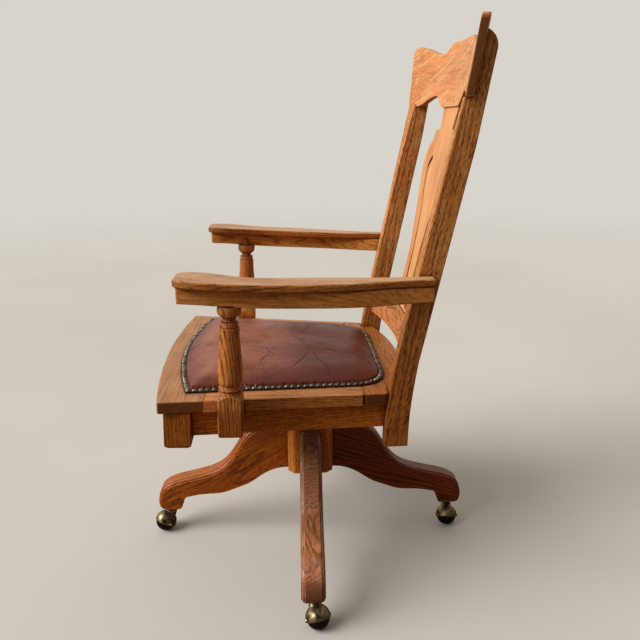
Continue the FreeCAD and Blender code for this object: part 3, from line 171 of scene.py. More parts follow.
def modify(piece, kind, **settings):
    """Puts a modifier on a piece and applies it."""
    only(piece)
    modifier = piece.modifiers.new(kind.lower(), kind)
    for name, value in settings.items():
        setattr(modifier, name, value)
    bpy.ops.object.modifier_apply(modifier=modifier.name)


def settle(piece):
    """Moves a piece's place into its mesh, so that its object stands at the origin."""
    only(piece)
    bpy.ops.object.transform_apply(location=True, rotation=True, scale=True)
    return piece


def smooth(piece, degrees=35.0):
    only(piece)
    bpy.ops.object.shade_smooth_by_angle(angle=math.radians(degrees))
    return piece


def coat(piece, material):
    piece.data.materials.clear()
    piece.data.materials.append(material)


def fit(piece, body, slot, material, *nodes):
    """Finishes a piece: its material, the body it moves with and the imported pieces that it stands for."""
    coat(piece, material)
    if nodes:
        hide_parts(*nodes)
    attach(piece, body)


def body_of(node):
    """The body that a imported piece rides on."""
    bodies = frame["record"]["behaviour"]["bodies"]
    return next(body for body, nodes in bodies.items() if node in nodes)


def centre_of(node):
    low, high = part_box(node)
    return (low + high) / 2


def merged_copy(node, name):
    """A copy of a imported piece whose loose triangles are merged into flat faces."""
    piece = bpy.data.objects.new(name, frame["nodes"][node].data.copy())
    bpy.context.scene.collection.objects.link(piece)
    edit(piece)
    bpy.ops.mesh.remove_doubles(threshold=MERGED)
    bpy.ops.mesh.dissolve_limited(angle_limit=FLAT)
    done()
    return piece


def eased(piece, width, segments=2):
    """Breaks the sharp edges of a piece and marks them as worn."""
    mesh = piece.data
    mesh.materials.clear()
    for _ in range(2):
        mesh.materials.append(None)
    modify(piece, "BEVEL", width=width, segments=segments, limit_method="ANGLE", angle_limit=SHARP,
           use_clamp_overlap=False, material=1, miter_outer="MITER_ARC", profile=0.6)
    mark = mesh.attributes.new("worn", "FLOAT", "CORNER")
    values = []
    for polygon in mesh.polygons:
        values += [float(polygon.material_index)] * polygon.loop_total
        polygon.material_index = 0
    mark.data.foreach_set("value", values)
    smooth(piece, 38.0)
    modify(piece, "WEIGHTED_NORMAL", keep_sharp=True, weight=60)
    return piece


# Materials

class Bench:
    """Lays out the nodes of one material or group from left to right."""

    def __init__(self, tree):
        self.tree = tree
        tree.nodes.clear()
        self.count = 0

    def add(self, kind, *inputs, **settings):
        """A node of a kind, with sockets or values on its inputs and settings on itself."""
        node = self.tree.nodes.new("ShaderNode" + kind)
        node.location = (self.count * 180, -(self.count % 4) * 160)
        self.count += 1
        for name, value in settings.items():
            setattr(node, name, value)
        for place, value in inputs:
            self.put(node.inputs[place], value)
        return node

    def put(self, socket, value):
        if isinstance(value, bpy.types.NodeSocket):
            self.tree.links.new(value, socket)
        else:
            socket.default_value = value

    def math(self, operation, a, b=0.0, c=0.0, clamp=False):
        return self.add("Math", (0, a), (1, b), (2, c), operation=operation, use_clamp=clamp).outputs[0]

    def times(self, a, b, clamp=False):
        return self.math("MULTIPLY", a, b, clamp=clamp)

    def span(self, value, low, high, to_low=0.0, to_high=1.0):
        """Maps a value between two bounds, held at both ends."""
        node = self.add("MapRange", ("Value", value), ("From Min", low), ("From Max", high),
                        ("To Min", to_low), ("To Max", to_high), interpolation_type="SMOOTHSTEP")
        return node.outputs["Result"]

    def speckle(self, place, scale, detail=2.0, roughness=0.5, output="Fac"):
        node = self.add("TexNoise", ("Vector", place), ("Scale", scale), ("Detail", detail), ("Roughness", roughness))
        return node.outputs[output]

    def vector(self, operation, a, b=(0, 0, 0)):
        node = self.add("VectorMath", (0, a), (1, b), operation=operation)
        return node.outputs["Value" if operation in ("LENGTH", "DOT_PRODUCT") else "Vector"]

    def blend(self, share, a, b, way="MIX"):
        return self.add("Mix", ("Factor", share), (6, a), (7, b), data_type="RGBA", blend_type=way).outputs[2]

    def attribute(self, name):
        return self.add("Attribute", attribute_name=name).outputs["Fac"]

    def place(self):
        """A point's place on the object."""
        return self.add("TexCoord").outputs["Object"]

    def part(self, value, axis):
        """One part of a vector."""
        return self.add("SeparateXYZ", (0, value)).outputs["XYZ".index(axis)]

    def drawn_out(self, place, share):
        """A place whose Z is shrunk to a share, so that a pattern on it is drawn out along Z."""
        return self.vector("MULTIPLY", place, (1.0, 1.0, share))


def colour(*values):
    """A written sRGB colour, 0 to 255, as the linear colour that a socket takes."""
    linear = [(v / 255) / 12.92 if v <= 10 else ((v / 255 + 0.055) / 1.055) ** 2.4 for v in values]
    return (*linear, 1.0)


def new_material(name):
    material = bpy.data.materials.new(name)
    material.use_nodes = True
    return material, Bench(material.node_tree)


def shader(bench, base, roughness, height=None, depth=0.001, **fixed):
    """The surface of a material, with a bump from a height in shares of a depth in metres."""
    surface = bench.add("BsdfPrincipled", ("Base Color", base), ("Roughness", roughness))
    for name, value in fixed.items():
        surface.inputs[name.replace("_", " ")].default_value = value
    if height is not None:
        bump = bench.add("Bump", ("Strength", 1.0), ("Distance", depth), ("Height", height))
        bench.put(surface.inputs["Normal"], bump.outputs[0])
    bench.add("OutputMaterial", (0, surface.outputs[0]))
    return surface


def oak_figure():
    """Growth rings, pores, rays and fibre about a heart line on Z, as one group for all the oak."""
    group = bpy.data.node_groups.new("Oak figure", "ShaderNodeTree")
    for way, kind, names in (
            ("INPUT", "Vector", "Place Facing"), ("INPUT", "Color", "Light Dark Pore Fleck"),
            ("INPUT", "Float", "Ring Bands Pores Rays"), ("OUTPUT", "Color", "Colour"),
            ("OUTPUT", "Float", "Roughness Height")):
        for name in names.split():
            group.interface.new_socket(name=name, in_out=way, socket_type="NodeSocket" + kind)
    bench = Bench(group)
    given = group.nodes.new("NodeGroupInput").outputs
    place = given["Place"]

    wander = bench.speckle(bench.drawn_out(place, 0.22), 9.0, 3.0, output="Color")
    wander = bench.vector("SUBTRACT", wander, (0.5, 0.5, 0.5))
    wander = bench.vector("MULTIPLY", wander, (0.030, 0.030, 0.0))
    bent = bench.vector("ADD", place, wander)
    across, over, along = bench.add("SeparateXYZ", (0, bent)).outputs
    radius = bench.vector("LENGTH", bench.drawn_out(bent, 0.0))
    angle = bench.math("ARCTAN2", over, across)
    count = bench.math("DIVIDE", radius, given["Ring"])
    uneven = bench.speckle(bench.drawn_out(bent, 0.03), 60.0, 1.0)
    count = bench.math("ADD", count, bench.times(uneven, 2.2))
    phase = bench.math("FRACT", count)
    porous = bench.times(bench.span(phase, 0.0, 0.10), bench.span(phase, 0.52, 0.22))

    fine = bench.speckle(bench.drawn_out(bent, 0.09), 900.0, 1.0)
    coarse = bench.speckle(bench.drawn_out(bent, 0.17), 480.0, 2.0, 0.6)
    pores = bench.span(bench.math("MAXIMUM", coarse, fine), 0.54, 0.66)
    crowd = bench.math("MULTIPLY_ADD", porous, 0.55, 0.45)
    pores = bench.times(bench.times(pores, crowd), given["Pores"], clamp=True)
    fibre = bench.speckle(bench.drawn_out(bent, 0.03), 190.0, 3.0, 0.65)

    slant = bench.math("MULTIPLY_ADD", radius, 1.6, along)
    sheet = bench.add("CombineXYZ", (0, bench.times(angle, 6.0)), (1, bench.times(radius, 26.0)),
                      (2, bench.times(slant, 3.2)))
    rays = bench.span(bench.speckle(sheet.outputs[0], 7.0, 1.0), 0.60, 0.69)
    rays = bench.times(rays, given["Rays"])
    broad = bench.speckle(bench.drawn_out(place, 0.4), 14.0)

    tone = bench.math("MULTIPLY_ADD", porous, given["Bands"], bench.span(fibre, 0.3, 0.7, -0.12, 0.42))
    tone = bench.math("ADD", tone, bench.span(broad, 0.3, 0.7, -0.12, 0.25), clamp=True)
    base = bench.blend(tone, given["Light"], given["Dark"])
    base = bench.blend(rays, base, given["Fleck"])
    base = bench.blend(bench.times(pores, 0.85), base, given["Pore"])
    end = bench.span(bench.math("ABSOLUTE", bench.part(given["Facing"], "Z")), 0.6, 0.92, 0.0, 0.62)
    base = bench.blend(end, base, given["Pore"])
    rough = bench.math("ADD", bench.span(fine, 0.3, 0.7, 0.33, 0.44), bench.times(pores, 0.2))
    height = bench.math("SUBTRACT", bench.times(fibre, 0.25), pores)
    out = group.nodes.new("NodeGroupOutput")
    for name, value in (("Colour", base), ("Roughness", rough), ("Height", height)):
        bench.put(out.inputs[name], value)


def oak(name, heart, grain, ring=4.5, tone=1.0, stain=(1.0, 1.0), pores=1.0, rays=0.25, worn=0.5, streaks=0.0,
        dark_foot=None, gloss=0.0, scuff=None, bands=0.42, sheen_and_wear=0.0):
    """Oiled oak for one piece: its grain direction, a point on its tree's heart line, its tone and its stain.

    It may also have long rays, a foot painted darker between two heights as painted shade, varnish, a patch that shoes
    have scuffed, and an upper face painted pale, partly wear and partly a painted sheen. Painted shade darkens every
    corner where it meets another piece.
    """
    wood = bpy.context.scene.chair_wood
    material, bench = new_material(name)
    turn = Vector(grain).normalized().rotation_difference(Vector((0, 0, 1))).to_matrix()
    coords = bench.add("TexCoord")
    place, facing = coords.outputs["Object"], coords.outputs["Normal"]
    angles = ("Rotation", turn.to_euler())
    from_heart = bench.add("Mapping", ("Vector", place), ("Location", turn @ -Vector(heart)), angles)
    turned = bench.add("Mapping", ("Vector", facing), angles, vector_type="NORMAL")

    def toned(values):
        return (*[min(0.95, c * tone * part) for c, part in zip(values, (1.0, *stain))], 1.0)

    figure = bench.add(
        "Group", ("Place", from_heart.outputs[0]), ("Facing", turned.outputs[0]), ("Light", toned(wood.light)),
        ("Dark", toned(wood.dark)), ("Pore", toned(wood.pore)), ("Fleck", toned(wood.fleck)), ("Ring", ring * MM),
        ("Bands", bands), ("Pores", pores), ("Rays", rays), node_tree=bpy.data.node_groups["Oak figure"])
    base = figure.outputs["Colour"]
    if streaks:
        base = bench.blend(bench.times(long_rays(bench, place, facing), streaks), base, toned(wood.fleck))
    # Bevelled edges take the rubbed colour: this is wear, and on the legs, with their high worn share, it is also
    # painted highlight lines along the mouldings
    edge_wear_and_glint = bench.span(bench.speckle(place, 38.0, 3.0, 0.6), 0.42, 0.62, 0.15)
    edge_wear_and_glint = bench.times(bench.attribute("worn"), edge_wear_and_glint)
    base = bench.blend(bench.times(edge_wear_and_glint, worn), base, toned(wood.rubbed))
    # Upward faces painted pale in patches: partly wear and partly a painted sheen from the light above
    if sheen_and_wear:
        patchy = bench.speckle(bench.vector("MULTIPLY", place, (1.0, 0.3, 1.0)), 26.0, 3.0)
        share = bench.times(bench.span(bench.part(facing, "Z"), 0.75, 0.98), bench.span(patchy, 0.3, 0.62, 0.45))
        base = bench.blend(bench.times(share, sheen_and_wear), base, colour(*TOP_SHEEN_AND_WEAR))
    # Painted shade: the colour darkens towards the foot, and is darkest below the lower of the two dark_foot heights
    if dark_foot:
        shaded = bench.blend(1.0, base, FOOT_SHADE, "MULTIPLY")
        base = bench.blend(bench.span(bench.part(place, "Z"), *dark_foot), shaded, base)
    if scuff:
        middle, reach = scuff
        away = bench.vector("MULTIPLY", bench.vector("SUBTRACT", place, middle), (1.0, 0.6, 1.0))
        away = bench.math("MULTIPLY_ADD", bench.speckle(place, 120.0, 3.0), 0.012, bench.vector("LENGTH", away))
        base = bench.blend(bench.span(away, reach, reach * 0.5, 0.0, 0.7), base, colour(*SHOE_SCUFFED))
    # Painted shade: an ambient occlusion mask darkens the colour in every corner where this piece meets another
    corner = bench.add("AmbientOcclusion", ("Distance", CORNER_REACH), samples=4).outputs["AO"]
    shaded = bench.blend(1.0, base, CORNER_SHADE, "MULTIPLY")
    base = bench.blend(bench.span(corner, 0.40, 0.92), shaded, base)
    dull = 1.0 - gloss
    rough = bench.times(figure.outputs["Roughness"], dull)
    shader(bench, base, rough, figure.outputs["Height"], 0.00025 * dull, Specular_IOR_Level=0.24 + gloss)
    return material


def long_rays(bench, place, facing):
    """Long thin rays that climb across a quarter-sawn face towards +X."""
    turned = bench.add("Mapping", ("Vector", place), ("Rotation", (0, math.radians(18), 0)))
    strokes = bench.speckle(bench.vector("MULTIPLY", turned.outputs[0], (8.0, 8.0, 330.0)), 1.0, 1.0, 0.4)
    gaps = bench.speckle(place, 34.0, 1.0)
    strokes = bench.times(bench.span(strokes, 0.54, 0.66), bench.span(gaps, 0.36, 0.54))
    broadside = bench.math("ABSOLUTE", bench.part(facing, "Y"))
    return bench.times(strokes, bench.span(broadside, 0.6, 0.9))


def metal(name, base, grime, rough=0.35, patch=90.0, metallic=1.0, depth=0.0002):
    """Worn metal with a darker patina in patches and a fine tooth, its edges rubbed bright where it isn't painted."""
    material, bench = new_material(name)
    place = bench.place()
    cloud = bench.speckle(place, patch, 4.0, 0.65)
    fine = bench.speckle(place, patch * 14)
    tarnish = bench.span(cloud, 0.40, 0.66)
    base = bench.blend(tarnish, colour(*base), colour(*grime))
    if metallic > 0.9:
        base = bench.blend(bench.times(bench.attribute("worn"), 0.5), base, colour(*METAL_RUBBED))
    dull = bench.math("MULTIPLY_ADD", tarnish, 0.28, rough - 0.1)
    rough = bench.math("ADD", dull, bench.times(fine, 0.1))
    height = bench.math("ADD", bench.times(fine, 0.4), cloud)
    shader(bench, base, rough, height, depth, Metallic=metallic)
    return material


# Settings

PAINT = {"subtype": "COLOR", "min": 0, "max": 1}


class WoodSettings(bpy.types.PropertyGroup):
    light: FloatVectorProperty(
        name="Light oak", description="Summer wood between the pore bands", default=colour(200, 122, 56)[:3], **PAINT)
    dark: FloatVectorProperty(
        name="Dark oak", description="Stained spring wood", default=colour(138, 70, 24)[:3], **PAINT)
    pore: FloatVectorProperty(
        name="Pores", description="Old finish caught in the open pores", default=colour(58, 24, 7)[:3], **PAINT)
    fleck: FloatVectorProperty(
        name="Ray flecks", description="Rays on quarter-sawn faces", default=colour(236, 168, 104)[:3], **PAINT)
    # Also the painted highlight along the legs' moulded edges
    rubbed: FloatVectorProperty(
        name="Rubbed edges", description="Edges where the finish wore thin", default=colour(214, 142, 82)[:3], **PAINT)


class LeatherSettings(bpy.types.PropertyGroup):
    # Lighter hide towards the front of the pad
    lighter_front: FloatVectorProperty(
        name="Faded front", description="Hide in front, bleached by daylight", default=colour(164, 98, 74)[:3], **PAINT)
    hide: FloatVectorProperty(
        name="Hide", description="Waxed face of the hide", default=colour(98, 42, 22)[:3], **PAINT)
    edge: FloatVectorProperty(
        name="Edge", description="Redder hide near the nails", default=colour(100, 38, 22)[:3], **PAINT)
    # Also the painted shade at the bottom of the creases
    crack_and_crease_shade: FloatVectorProperty(
        name="Cracks", description="Bottom of the creases", default=colour(52, 26, 22)[:3], **PAINT)
    grid: FloatProperty(
        name="Mesh size", description="Voxel size of the pad before its folds", unit="LENGTH",
        default=0.0045, min=0.002, max=0.02)
    pressure: FloatProperty(
        name="Stuffing pressure", description="Pressure of the stuffing under the hide", default=2.5, min=0.0, max=20.0)


class NailSettings(bpy.types.PropertyGroup):
    pitch: FloatProperty(name="Pitch", description="Distance from nail to nail", unit="LENGTH", default=0.0125)
    radius: FloatProperty(name="Radius", description="Radius of a nail's head", unit="LENGTH", default=0.0052)
    band: FloatProperty(
        name="Band", description="Width of the dark band under the nails", unit="LENGTH", default=0.0125)
    sides: IntProperty(name="Sides", description="Faces round a nail's head", default=10, min=6, max=32)


class StudioSettings(bpy.types.PropertyGroup):
    camera: FloatVectorProperty(
        name="Camera", description="Where the camera stands", subtype="XYZ", unit="LENGTH",
        default=(1.38367, -0.04992, 0.92882))
    turn: FloatVectorProperty(
        name="Turn", description="Yaw, look down and roll of the camera, in degrees", default=(-3.827, 16.172, 0.306))
    lens: FloatProperty(name="Lens", description="Focal length in mm on a 36 mm frame", default=36.68)
    shift: FloatVectorProperty(name="Shift", description="Shift of the frame", size=2, default=(-0.01155, -0.01112))
    key: FloatProperty(name="Window light", description="Strength of the broad light in front", default=2.6)
    key_from: FloatVectorProperty(
        name="Window side", description="Direction towards the broad light", subtype="XYZ", default=(0.20, -0.78, 0.58))
    softness: FloatProperty(name="Softness", description="Width of the broad light, in degrees", default=42.0)
    fill: FloatProperty(name="Fill light", description="Brightness of the room behind the camera", default=0.10)
    wall: FloatProperty(name="Wall light", description="Brightness of the pale wall behind the chair", default=0.95)
    wall_side: FloatVectorProperty(
        name="Wall side", description="Direction towards the pale wall", subtype="XYZ", default=(-0.80, -0.45, 0.30))
    backdrop: FloatVectorProperty(name="Backdrop", description="Pale wall", default=colour(216, 212, 204)[:3], **PAINT)
    floor: FloatVectorProperty(name="Floor", description="Pale floor", default=colour(218, 212, 203)[:3], **PAINT)
    bounce: FloatVectorProperty(
        name="Floor bounce", description="Colour that the floor throws back", default=colour(118, 92, 66)[:3], **PAINT)


# The leaning grain, and the finish of boards that match; a stain scales green and blue
LEAN = (0, 0.207, 0.978)
UNDER = (0.9, 0.42)
SIDE_BOARD = {"tone": 1.3, "stain": (1.12, 1.3), "pores": 0.8, "sheen_and_wear": 0.2}
CROSS_APRON = {"tone": 0.85, "stain": UNDER}
SIDE_APRON = {"tone": 1.45, "stain": UNDER}
# Stiles and arm posts take dark_foot, a painted shade on their lower parts
STILE = {"tone": 2.05, "stain": (1.04, 1.3), "pores": 1.7, "dark_foot": (0.36, 0.72)}
ARM_BOARD = {"worn": 0.8, "sheen_and_wear": 0.75}
ARM_POST = {"tone": 1.4, "stain": (1.05, 1.2), "bands": 0.75, "dark_foot": (0.425, 0.455)}
SCUFFED_TOE = (Vector((0.290, 0.0, 0.135)), 0.016)

# Oak pieces: node, grain, heart line away from the piece's middle in mm, edge in mm, then tone and figure
SEAT_FRAME = [
    ("seat_front_board", (1, 0, 0.02), (0, 30, -70), 2.2,
     dict(stain=(1.22, 1.9), rays=0.1, pores=0.6, bands=0.3, sheen_and_wear=0.25)),
    ("seat_left_board", (0.02, 1, -0.04), (60, 0, -90), 1.2, SIDE_BOARD),
    ("seat_right_board", (0.02, 1, -0.04), (-70, 0, -80), 1.2, SIDE_BOARD),
    ("seat_rear_board", (1, 0.02, 0), (0, -40, -60), 1.2, dict(stain=(1.05, 0.9))),
    ("front_apron", (1, 0, 0.01), (0, -80, 30), 1.2, CROSS_APRON),
    ("rear_apron", (1, 0, 0.01), (0, 70, 40), 1.2, dict(CROSS_APRON, tone=0.8)),
    ("left_apron", (0, 1, -0.03), (-40, 0, -75), 1.2, SIDE_APRON),
    ("right_apron", (0, 1, -0.03), (40, 0, -75), 1.2, SIDE_APRON),
    ("left_stub_post", (0.02, 0.01, 1), (-30, 110, 0), 2.4, dict(CROSS_APRON, ring=6.0)),
    ("right_stub_post", (0.02, 0.01, 1), (30, 110, 0), 2.4, dict(CROSS_APRON, ring=6.0)),
    ("corner_blocks", (0, 0, 1), (90, 40, 0), 1.0, dict(tone=0.62)),
    ("seat_cleats", (0, 1, 0), (0, 0, -90), 1.0, dict(tone=0.66)),
    ("packing_blocks", (0, 1, 0), (0, 0, -70), 1.0, dict(tone=0.66)),
]
BACK = [
    ("left_stile", LEAN, (100, 30, 0), 1.3, STILE),
    ("right_stile", LEAN, (-90, 45, 0), 1.3, STILE),
    ("lower_back_rail", (1, 0.05, 0.07), (0, 42, 0), 2.0, dict(tone=1.2, stain=(1.08, 1.5), ring=6.0)),
    ("splat", (0.02, 0.207, 0.978), (20, 70, 0), 1.2,
     dict(tone=2.0, stain=(1.12, 1.95), ring=6.5, pores=0.3, bands=0.2)),
    ("crest_rail", (1, 0.02, -0.03), (0, 20, -110), 2.4,
     dict(tone=1.48, stain=(1.13, 1.65), rays=0.0, pores=0.05, bands=0.04, streaks=0.6)),
]
ARMS = [
    ("left_arm_board", (0, 1, -0.02), (-10, 0, -60), 3.6, dict(ARM_BOARD, tone=1.1, stain=(1.06, 1.1))),
    ("right_arm_board", (0, 1, -0.02), (15, 0, -70), 3.6, dict(ARM_BOARD, tone=0.95)),
    ("left_arm_rail", (0, 1, -0.03), (-55, 0, 20), 3.4, dict(tone=1.8, stain=(1.1, 1.25), pores=0.6, bands=0.26)),
    ("right_arm_rail", (0, 1, -0.03), (65, 0, 15), 3.4, dict(tone=2.0, stain=(1.14, 1.1), pores=0.8, bands=0.4)),
    ("left_arm_post", (0.01, -0.03, 1), (-40, 60, 0), 0.7, ARM_POST),
    ("right_arm_post", (-0.01, -0.03, 1), (50, 50, 0), 0.7, ARM_POST),
]
# The legs' high worn share paints highlight lines along their moulded edges as well as wear
BASE = [
    ("hub", (0.01, 0, 1), (45, 20, 0), 1.2, dict(tone=2.7, ring=5.0, stain=(0.7, 0.55))),
    ("leg_left", (1, 0, -0.36), (0, 18, -105), 0.6,
     dict(tone=1.16, stain=(1.18, 2.4), pores=1.1, worn=0.9, gloss=0.28, scuff=SCUFFED_TOE)),
    ("leg_rear", (0, 1, -0.36), (60, 0, -60), 0.6,
     dict(tone=0.66, stain=(0.54, 0.24), ring=6.5, pores=1.2, bands=1.2, worn=0.9, gloss=0.18)),
    ("leg_right", (-1, 0, -0.36), (0, 30, -90), 0.6, dict(tone=0.72, stain=(0.68, 0.34), worn=0.9, gloss=0.28)),
    ("leg_front", (0, -1, -0.62), (-80, 0, -40), 0.6,
     dict(tone=1.12, stain=(0.76, 0.26), ring=3.0, pores=1.3, bands=0.6, worn=0.9, gloss=0.16)),
]
# How far along the tree a piece is cut, in metres for each letter of its name
CUT_APART = 0.37


def joiner(rows):
    """Makes the oak pieces of one part of the chair from their rows."""
    for node, grain, heart, edge, finish in rows:
        piece = eased(merged_copy(node, "oak_" + node), edge * MM)
        lengthwise = Vector(grain).normalized() * (CUT_APART * len(node) % 1.0)
        heart_point = centre_of(node) + Vector(heart) * MM + lengthwise
        fit(piece, body_of(node), "oak", oak("Oak " + node, heart_point, grain, **finish), node)


class CHAIR_OT_seat_frame(bpy.types.Operator):
    """Make the seat's boards, aprons and stub posts in oak"""
    bl_idname = "chair.seat_frame"
    bl_label = "Seat frame"

    def execute(self, context):
        joiner(SEAT_FRAME)
        return {"FINISHED"}


class CHAIR_OT_back(bpy.types.Operator):
    """Make the stiles, rails, crest and splat in oak"""
    bl_idname = "chair.back"
    bl_label = "Back"

    def execute(self, context):
        joiner(BACK)
        return {"FINISHED"}


class CHAIR_OT_arms(bpy.types.Operator):
    """Make the arm boards, arm rails and turned posts in oak"""
    bl_idname = "chair.arms"
    bl_label = "Arms"

    def execute(self, context):
        joiner(ARMS)
        return {"FINISHED"}


class CHAIR_OT_base(bpy.types.Operator):
    """Make the hub and the four beaded legs in oak"""
    bl_idname = "chair.base"
    bl_label = "Base"

    def execute(self, context):
        joiner(BASE)
        return {"FINISHED"}


# Upholstery

def pad_outline():
    """The pad's edge on the level seat, as points evenly spaced, counter-clockwise."""
    level = SEAT_SET.inverted()
    points = [level @ v.co for v in frame["nodes"]["leather_pad"].data.vertices]
    base = min(p.z for p in points)
    foot = {(round(p.x, 5), round(p.y, 5)) for p in points if p.z < base + 0.0005}
    middle = Vector((0, sum(y for _, y in foot) / len(foot)))
    ring = sorted((Vector(p) for p in foot), key=lambda p: math.atan2(p.y - middle.y, p.x - middle.x))
    return spaced(ring, OUTLINE_STEP)


def spaced(ring, step):
    """Points at an even distance along a closed outline."""
    after = ring[1:] + ring[:1]
    lengths = [(b - a).length for a, b in zip(ring, after)]
    count = round(sum(lengths) / step)
    step = sum(lengths) / count
    points = []
    i = 0
    passed = 0.0
    for k in range(count):
        target = k * step
        while passed + lengths[i] < target:
            passed += lengths[i]
            i += 1
        share = (target - passed) / lengths[i]
        points.append(ring[i].lerp(after[i], share))
    return points


def drawn_in(ring, distance):
    """The outline moved inwards by a distance."""
    moved = []
    count = len(ring)
    for i, point in enumerate(ring):
        along = (ring[(i + 2) % count] - ring[i - 2]).normalized()
        moved.append(point + Vector((-along.y, along.x)) * distance)
    return moved


def edge_distance(point, ring):
    """How far a point lies from an outline."""
    return min((point - p).length for p in ring)


# The deep folds: where each starts from the worn spot in mm, its heading in degrees, its length in mm and its depth
DEEP_FOLDS = [
    ((-4, -2), 200, 130, 1.0),
    ((-10, 22), 88, 62, 0.9),
    ((-125, -14), 145, 85, 0.8),
    ((14, -6), 346, 110, 0.9),
    ((12, 6), 9, 120, 1.0),
    ((30, -88), 352, 60, 0.8),
    ((-8, -100), 30, 70, 0.7),
    ((40, 16), 60, 40, 0.7),
]
FINE_FOLDS = 13
STRAY_FOLDS = 12


def towards(heading):
    return Vector((math.cos(heading), math.sin(heading)))


def wander(chance, point, heading, steps, turn):
    """A crease's plan path, which turns at random at each step."""
    path = [point]
    for _ in range(steps):
        heading += chance.gauss(0, turn)
        path.append(path[-1] + towards(heading) * CREASE_STEP)
    return path


def crease_lines():
    """The hide's main creases as plan paths: deep folds and fine ones from one worn spot, and others that wander."""
    chance = random.Random(7)
    paths = []
    for start, heading, length, depth in DEEP_FOLDS:
        steps = round(length * MM / CREASE_STEP)
        paths.append((wander(chance, CREASE_HEART + Vector(start) * MM, math.radians(heading), steps, 0.13), depth))
    for k in range(FINE_FOLDS):
        heading = math.radians(360 / FINE_FOLDS * k + chance.uniform(-12, 12))
        point = CREASE_HEART + towards(heading) * chance.uniform(0.006, 0.05)
        path = wander(chance, point, heading, chance.randint(10, 22), 0.22)
        paths.append((path, chance.uniform(0.25, 0.6)))
    for _ in range(STRAY_FOLDS):
        point = Vector((chance.uniform(-0.17, 0.17), chance.uniform(-0.2, 0.1)))
        heading = chance.uniform(0, math.tau)
        path = wander(chance, point, heading, chance.randint(5, 14), 0.3)
        paths.append((path, chance.uniform(0.2, 0.55)))
    return paths


def crease_depths(places):
    """For each plan place, how deep the nearest crease cuts it, from 0 to 1."""
    marks = []
    for path, depth in crease_lines():
        for i in range(len(path) - 1):
            for k in range(6):
                share = (i + k / 6) / (len(path) - 1)
                fade = math.sin(math.pi * min(1.0, 0.15 + share * 0.85))
                marks.append((path[i].lerp(path[i + 1], k / 6), depth * fade))
    tree = KDTree(len(marks))
    for i, (point, _) in enumerate(marks):
        tree.insert((point.x, point.y, 0), i)
    tree.balance()
    depths = []
    for place in places:
        _, i, distance = tree.find((place.x, place.y, 0))
        depths.append(marks[i][1] * max(0.0, 1 - distance / CREASE_REACH) ** 1.5)
    return depths


class CHAIR_OT_leather_pad(bpy.types.Operator):
    """Stuff, fold and crease the leather seat pad"""
    bl_idname = "chair.leather_pad"
    bl_label = "Leather pad"

    def execute(self, context):
        settings = context.scene.chair_leather
        ring = pad_outline()
        pad = merged_copy("leather_pad", "leather_seat")
        pad.data.transform(SEAT_SET.inverted())
        modify(pad, "REMESH", mode="VOXEL", voxel_size=settings.grid)
        held = pad.vertex_groups.new(name="nailed down")
        for vertex in pad.data.vertices:
            low = vertex.co.z < SEAT_TOP + HELD_FOOT
            nailed = low or edge_distance(vertex.co.xy, ring) < HELD_BORDER
            held.add([vertex.index], float(nailed), "REPLACE")
        self.stuff(pad, settings.pressure)
        self.shape(pad, ring)
        smooth(pad, 60.0)
        pad.data.transform(SEAT_SET)
        fit(pad, "seat", "leather", leather(), "leather_pad")
        return {"FINISHED"}

    def stuff(self, pad, pressure):
        """Blows the hide up against its nails, no further than a cap."""
        start = [v.co.copy() for v in pad.data.vertices]
        only(pad)
        cloth = pad.modifiers.new("stuffing", "CLOTH")
        hide = dict(use_pressure=True, uniform_pressure_force=pressure, vertex_group_mass="nailed down", quality=6,
                    tension_stiffness=30, bending_stiffness=2)
        for name, value in hide.items():
            setattr(cloth.settings, name, value)
        cloth.settings.effector_weights.gravity = 0.0
        cloth.point_cache.frame_start = 1
        cloth.point_cache.frame_end = STUFFING_FRAMES
        for number in range(1, STUFFING_FRAMES + 1):
            bpy.context.scene.frame_set(number)
        bpy.ops.object.modifier_apply(modifier=cloth.name)
        bpy.context.scene.frame_set(1)
        for vertex, old in zip(pad.data.vertices, start):
            move = vertex.co - old
            if move.length > STUFFING_CAP:
                vertex.co = old + move.normalized() * STUFFING_CAP

    def shape(self, pad, ring):
        """Flattens the nailed border, presses the worn dip and cuts the creases."""
        modify(pad, "SUBSURF", levels=1, render_levels=1)
        mesh = pad.data
        depths = crease_depths([v.co.xy for v in mesh.vertices])
        crease = mesh.attributes.new("crease", "FLOAT", "POINT")
        border = mesh.attributes.new("border", "FLOAT", "POINT")
        coarse_ring = ring[::4]
        for i, vertex in enumerate(mesh.vertices):
            place = vertex.co.xy
            distance = edge_distance(place, coarse_ring)
            border.data[i].value = max(0.0, 1 - distance / REDDER_BORDER)
            crease.data[i].value = depths[i]
            if vertex.co.z < SEAT_TOP + PAD_FOOT:
                continue
            inside = distance - NAILED_BORDER
            if inside < 0:
                vertex.co.z = min(vertex.co.z, SEAT_TOP + BORDER_LIFT)
                continue
            rise = min(1.0, inside / FOLD_SHOULDER)
            swell = min(1.0, inside / STUFFING_SHOULDER)
            vertex.co.z += STUFFING_RISE * swell * (2 - swell)
            lump = sum(noise.noise(Vector((place.x * many, place.y * many, seed))) * high for many, seed, high in LUMPS)
            wear = (place - CREASE_HEART).length
            lump -= WORN_DIP * math.exp(-(wear / WORN_DIP_REACH) ** 2)
            tuck = math.sin(place.x * TUCKS[0]) * math.sin(place.y * TUCKS[1]) * TUCK_HEIGHT * (1 - rise)
            vertex.co.z += (lump - depths[i] * CREASE_DEPTH) * rise + tuck


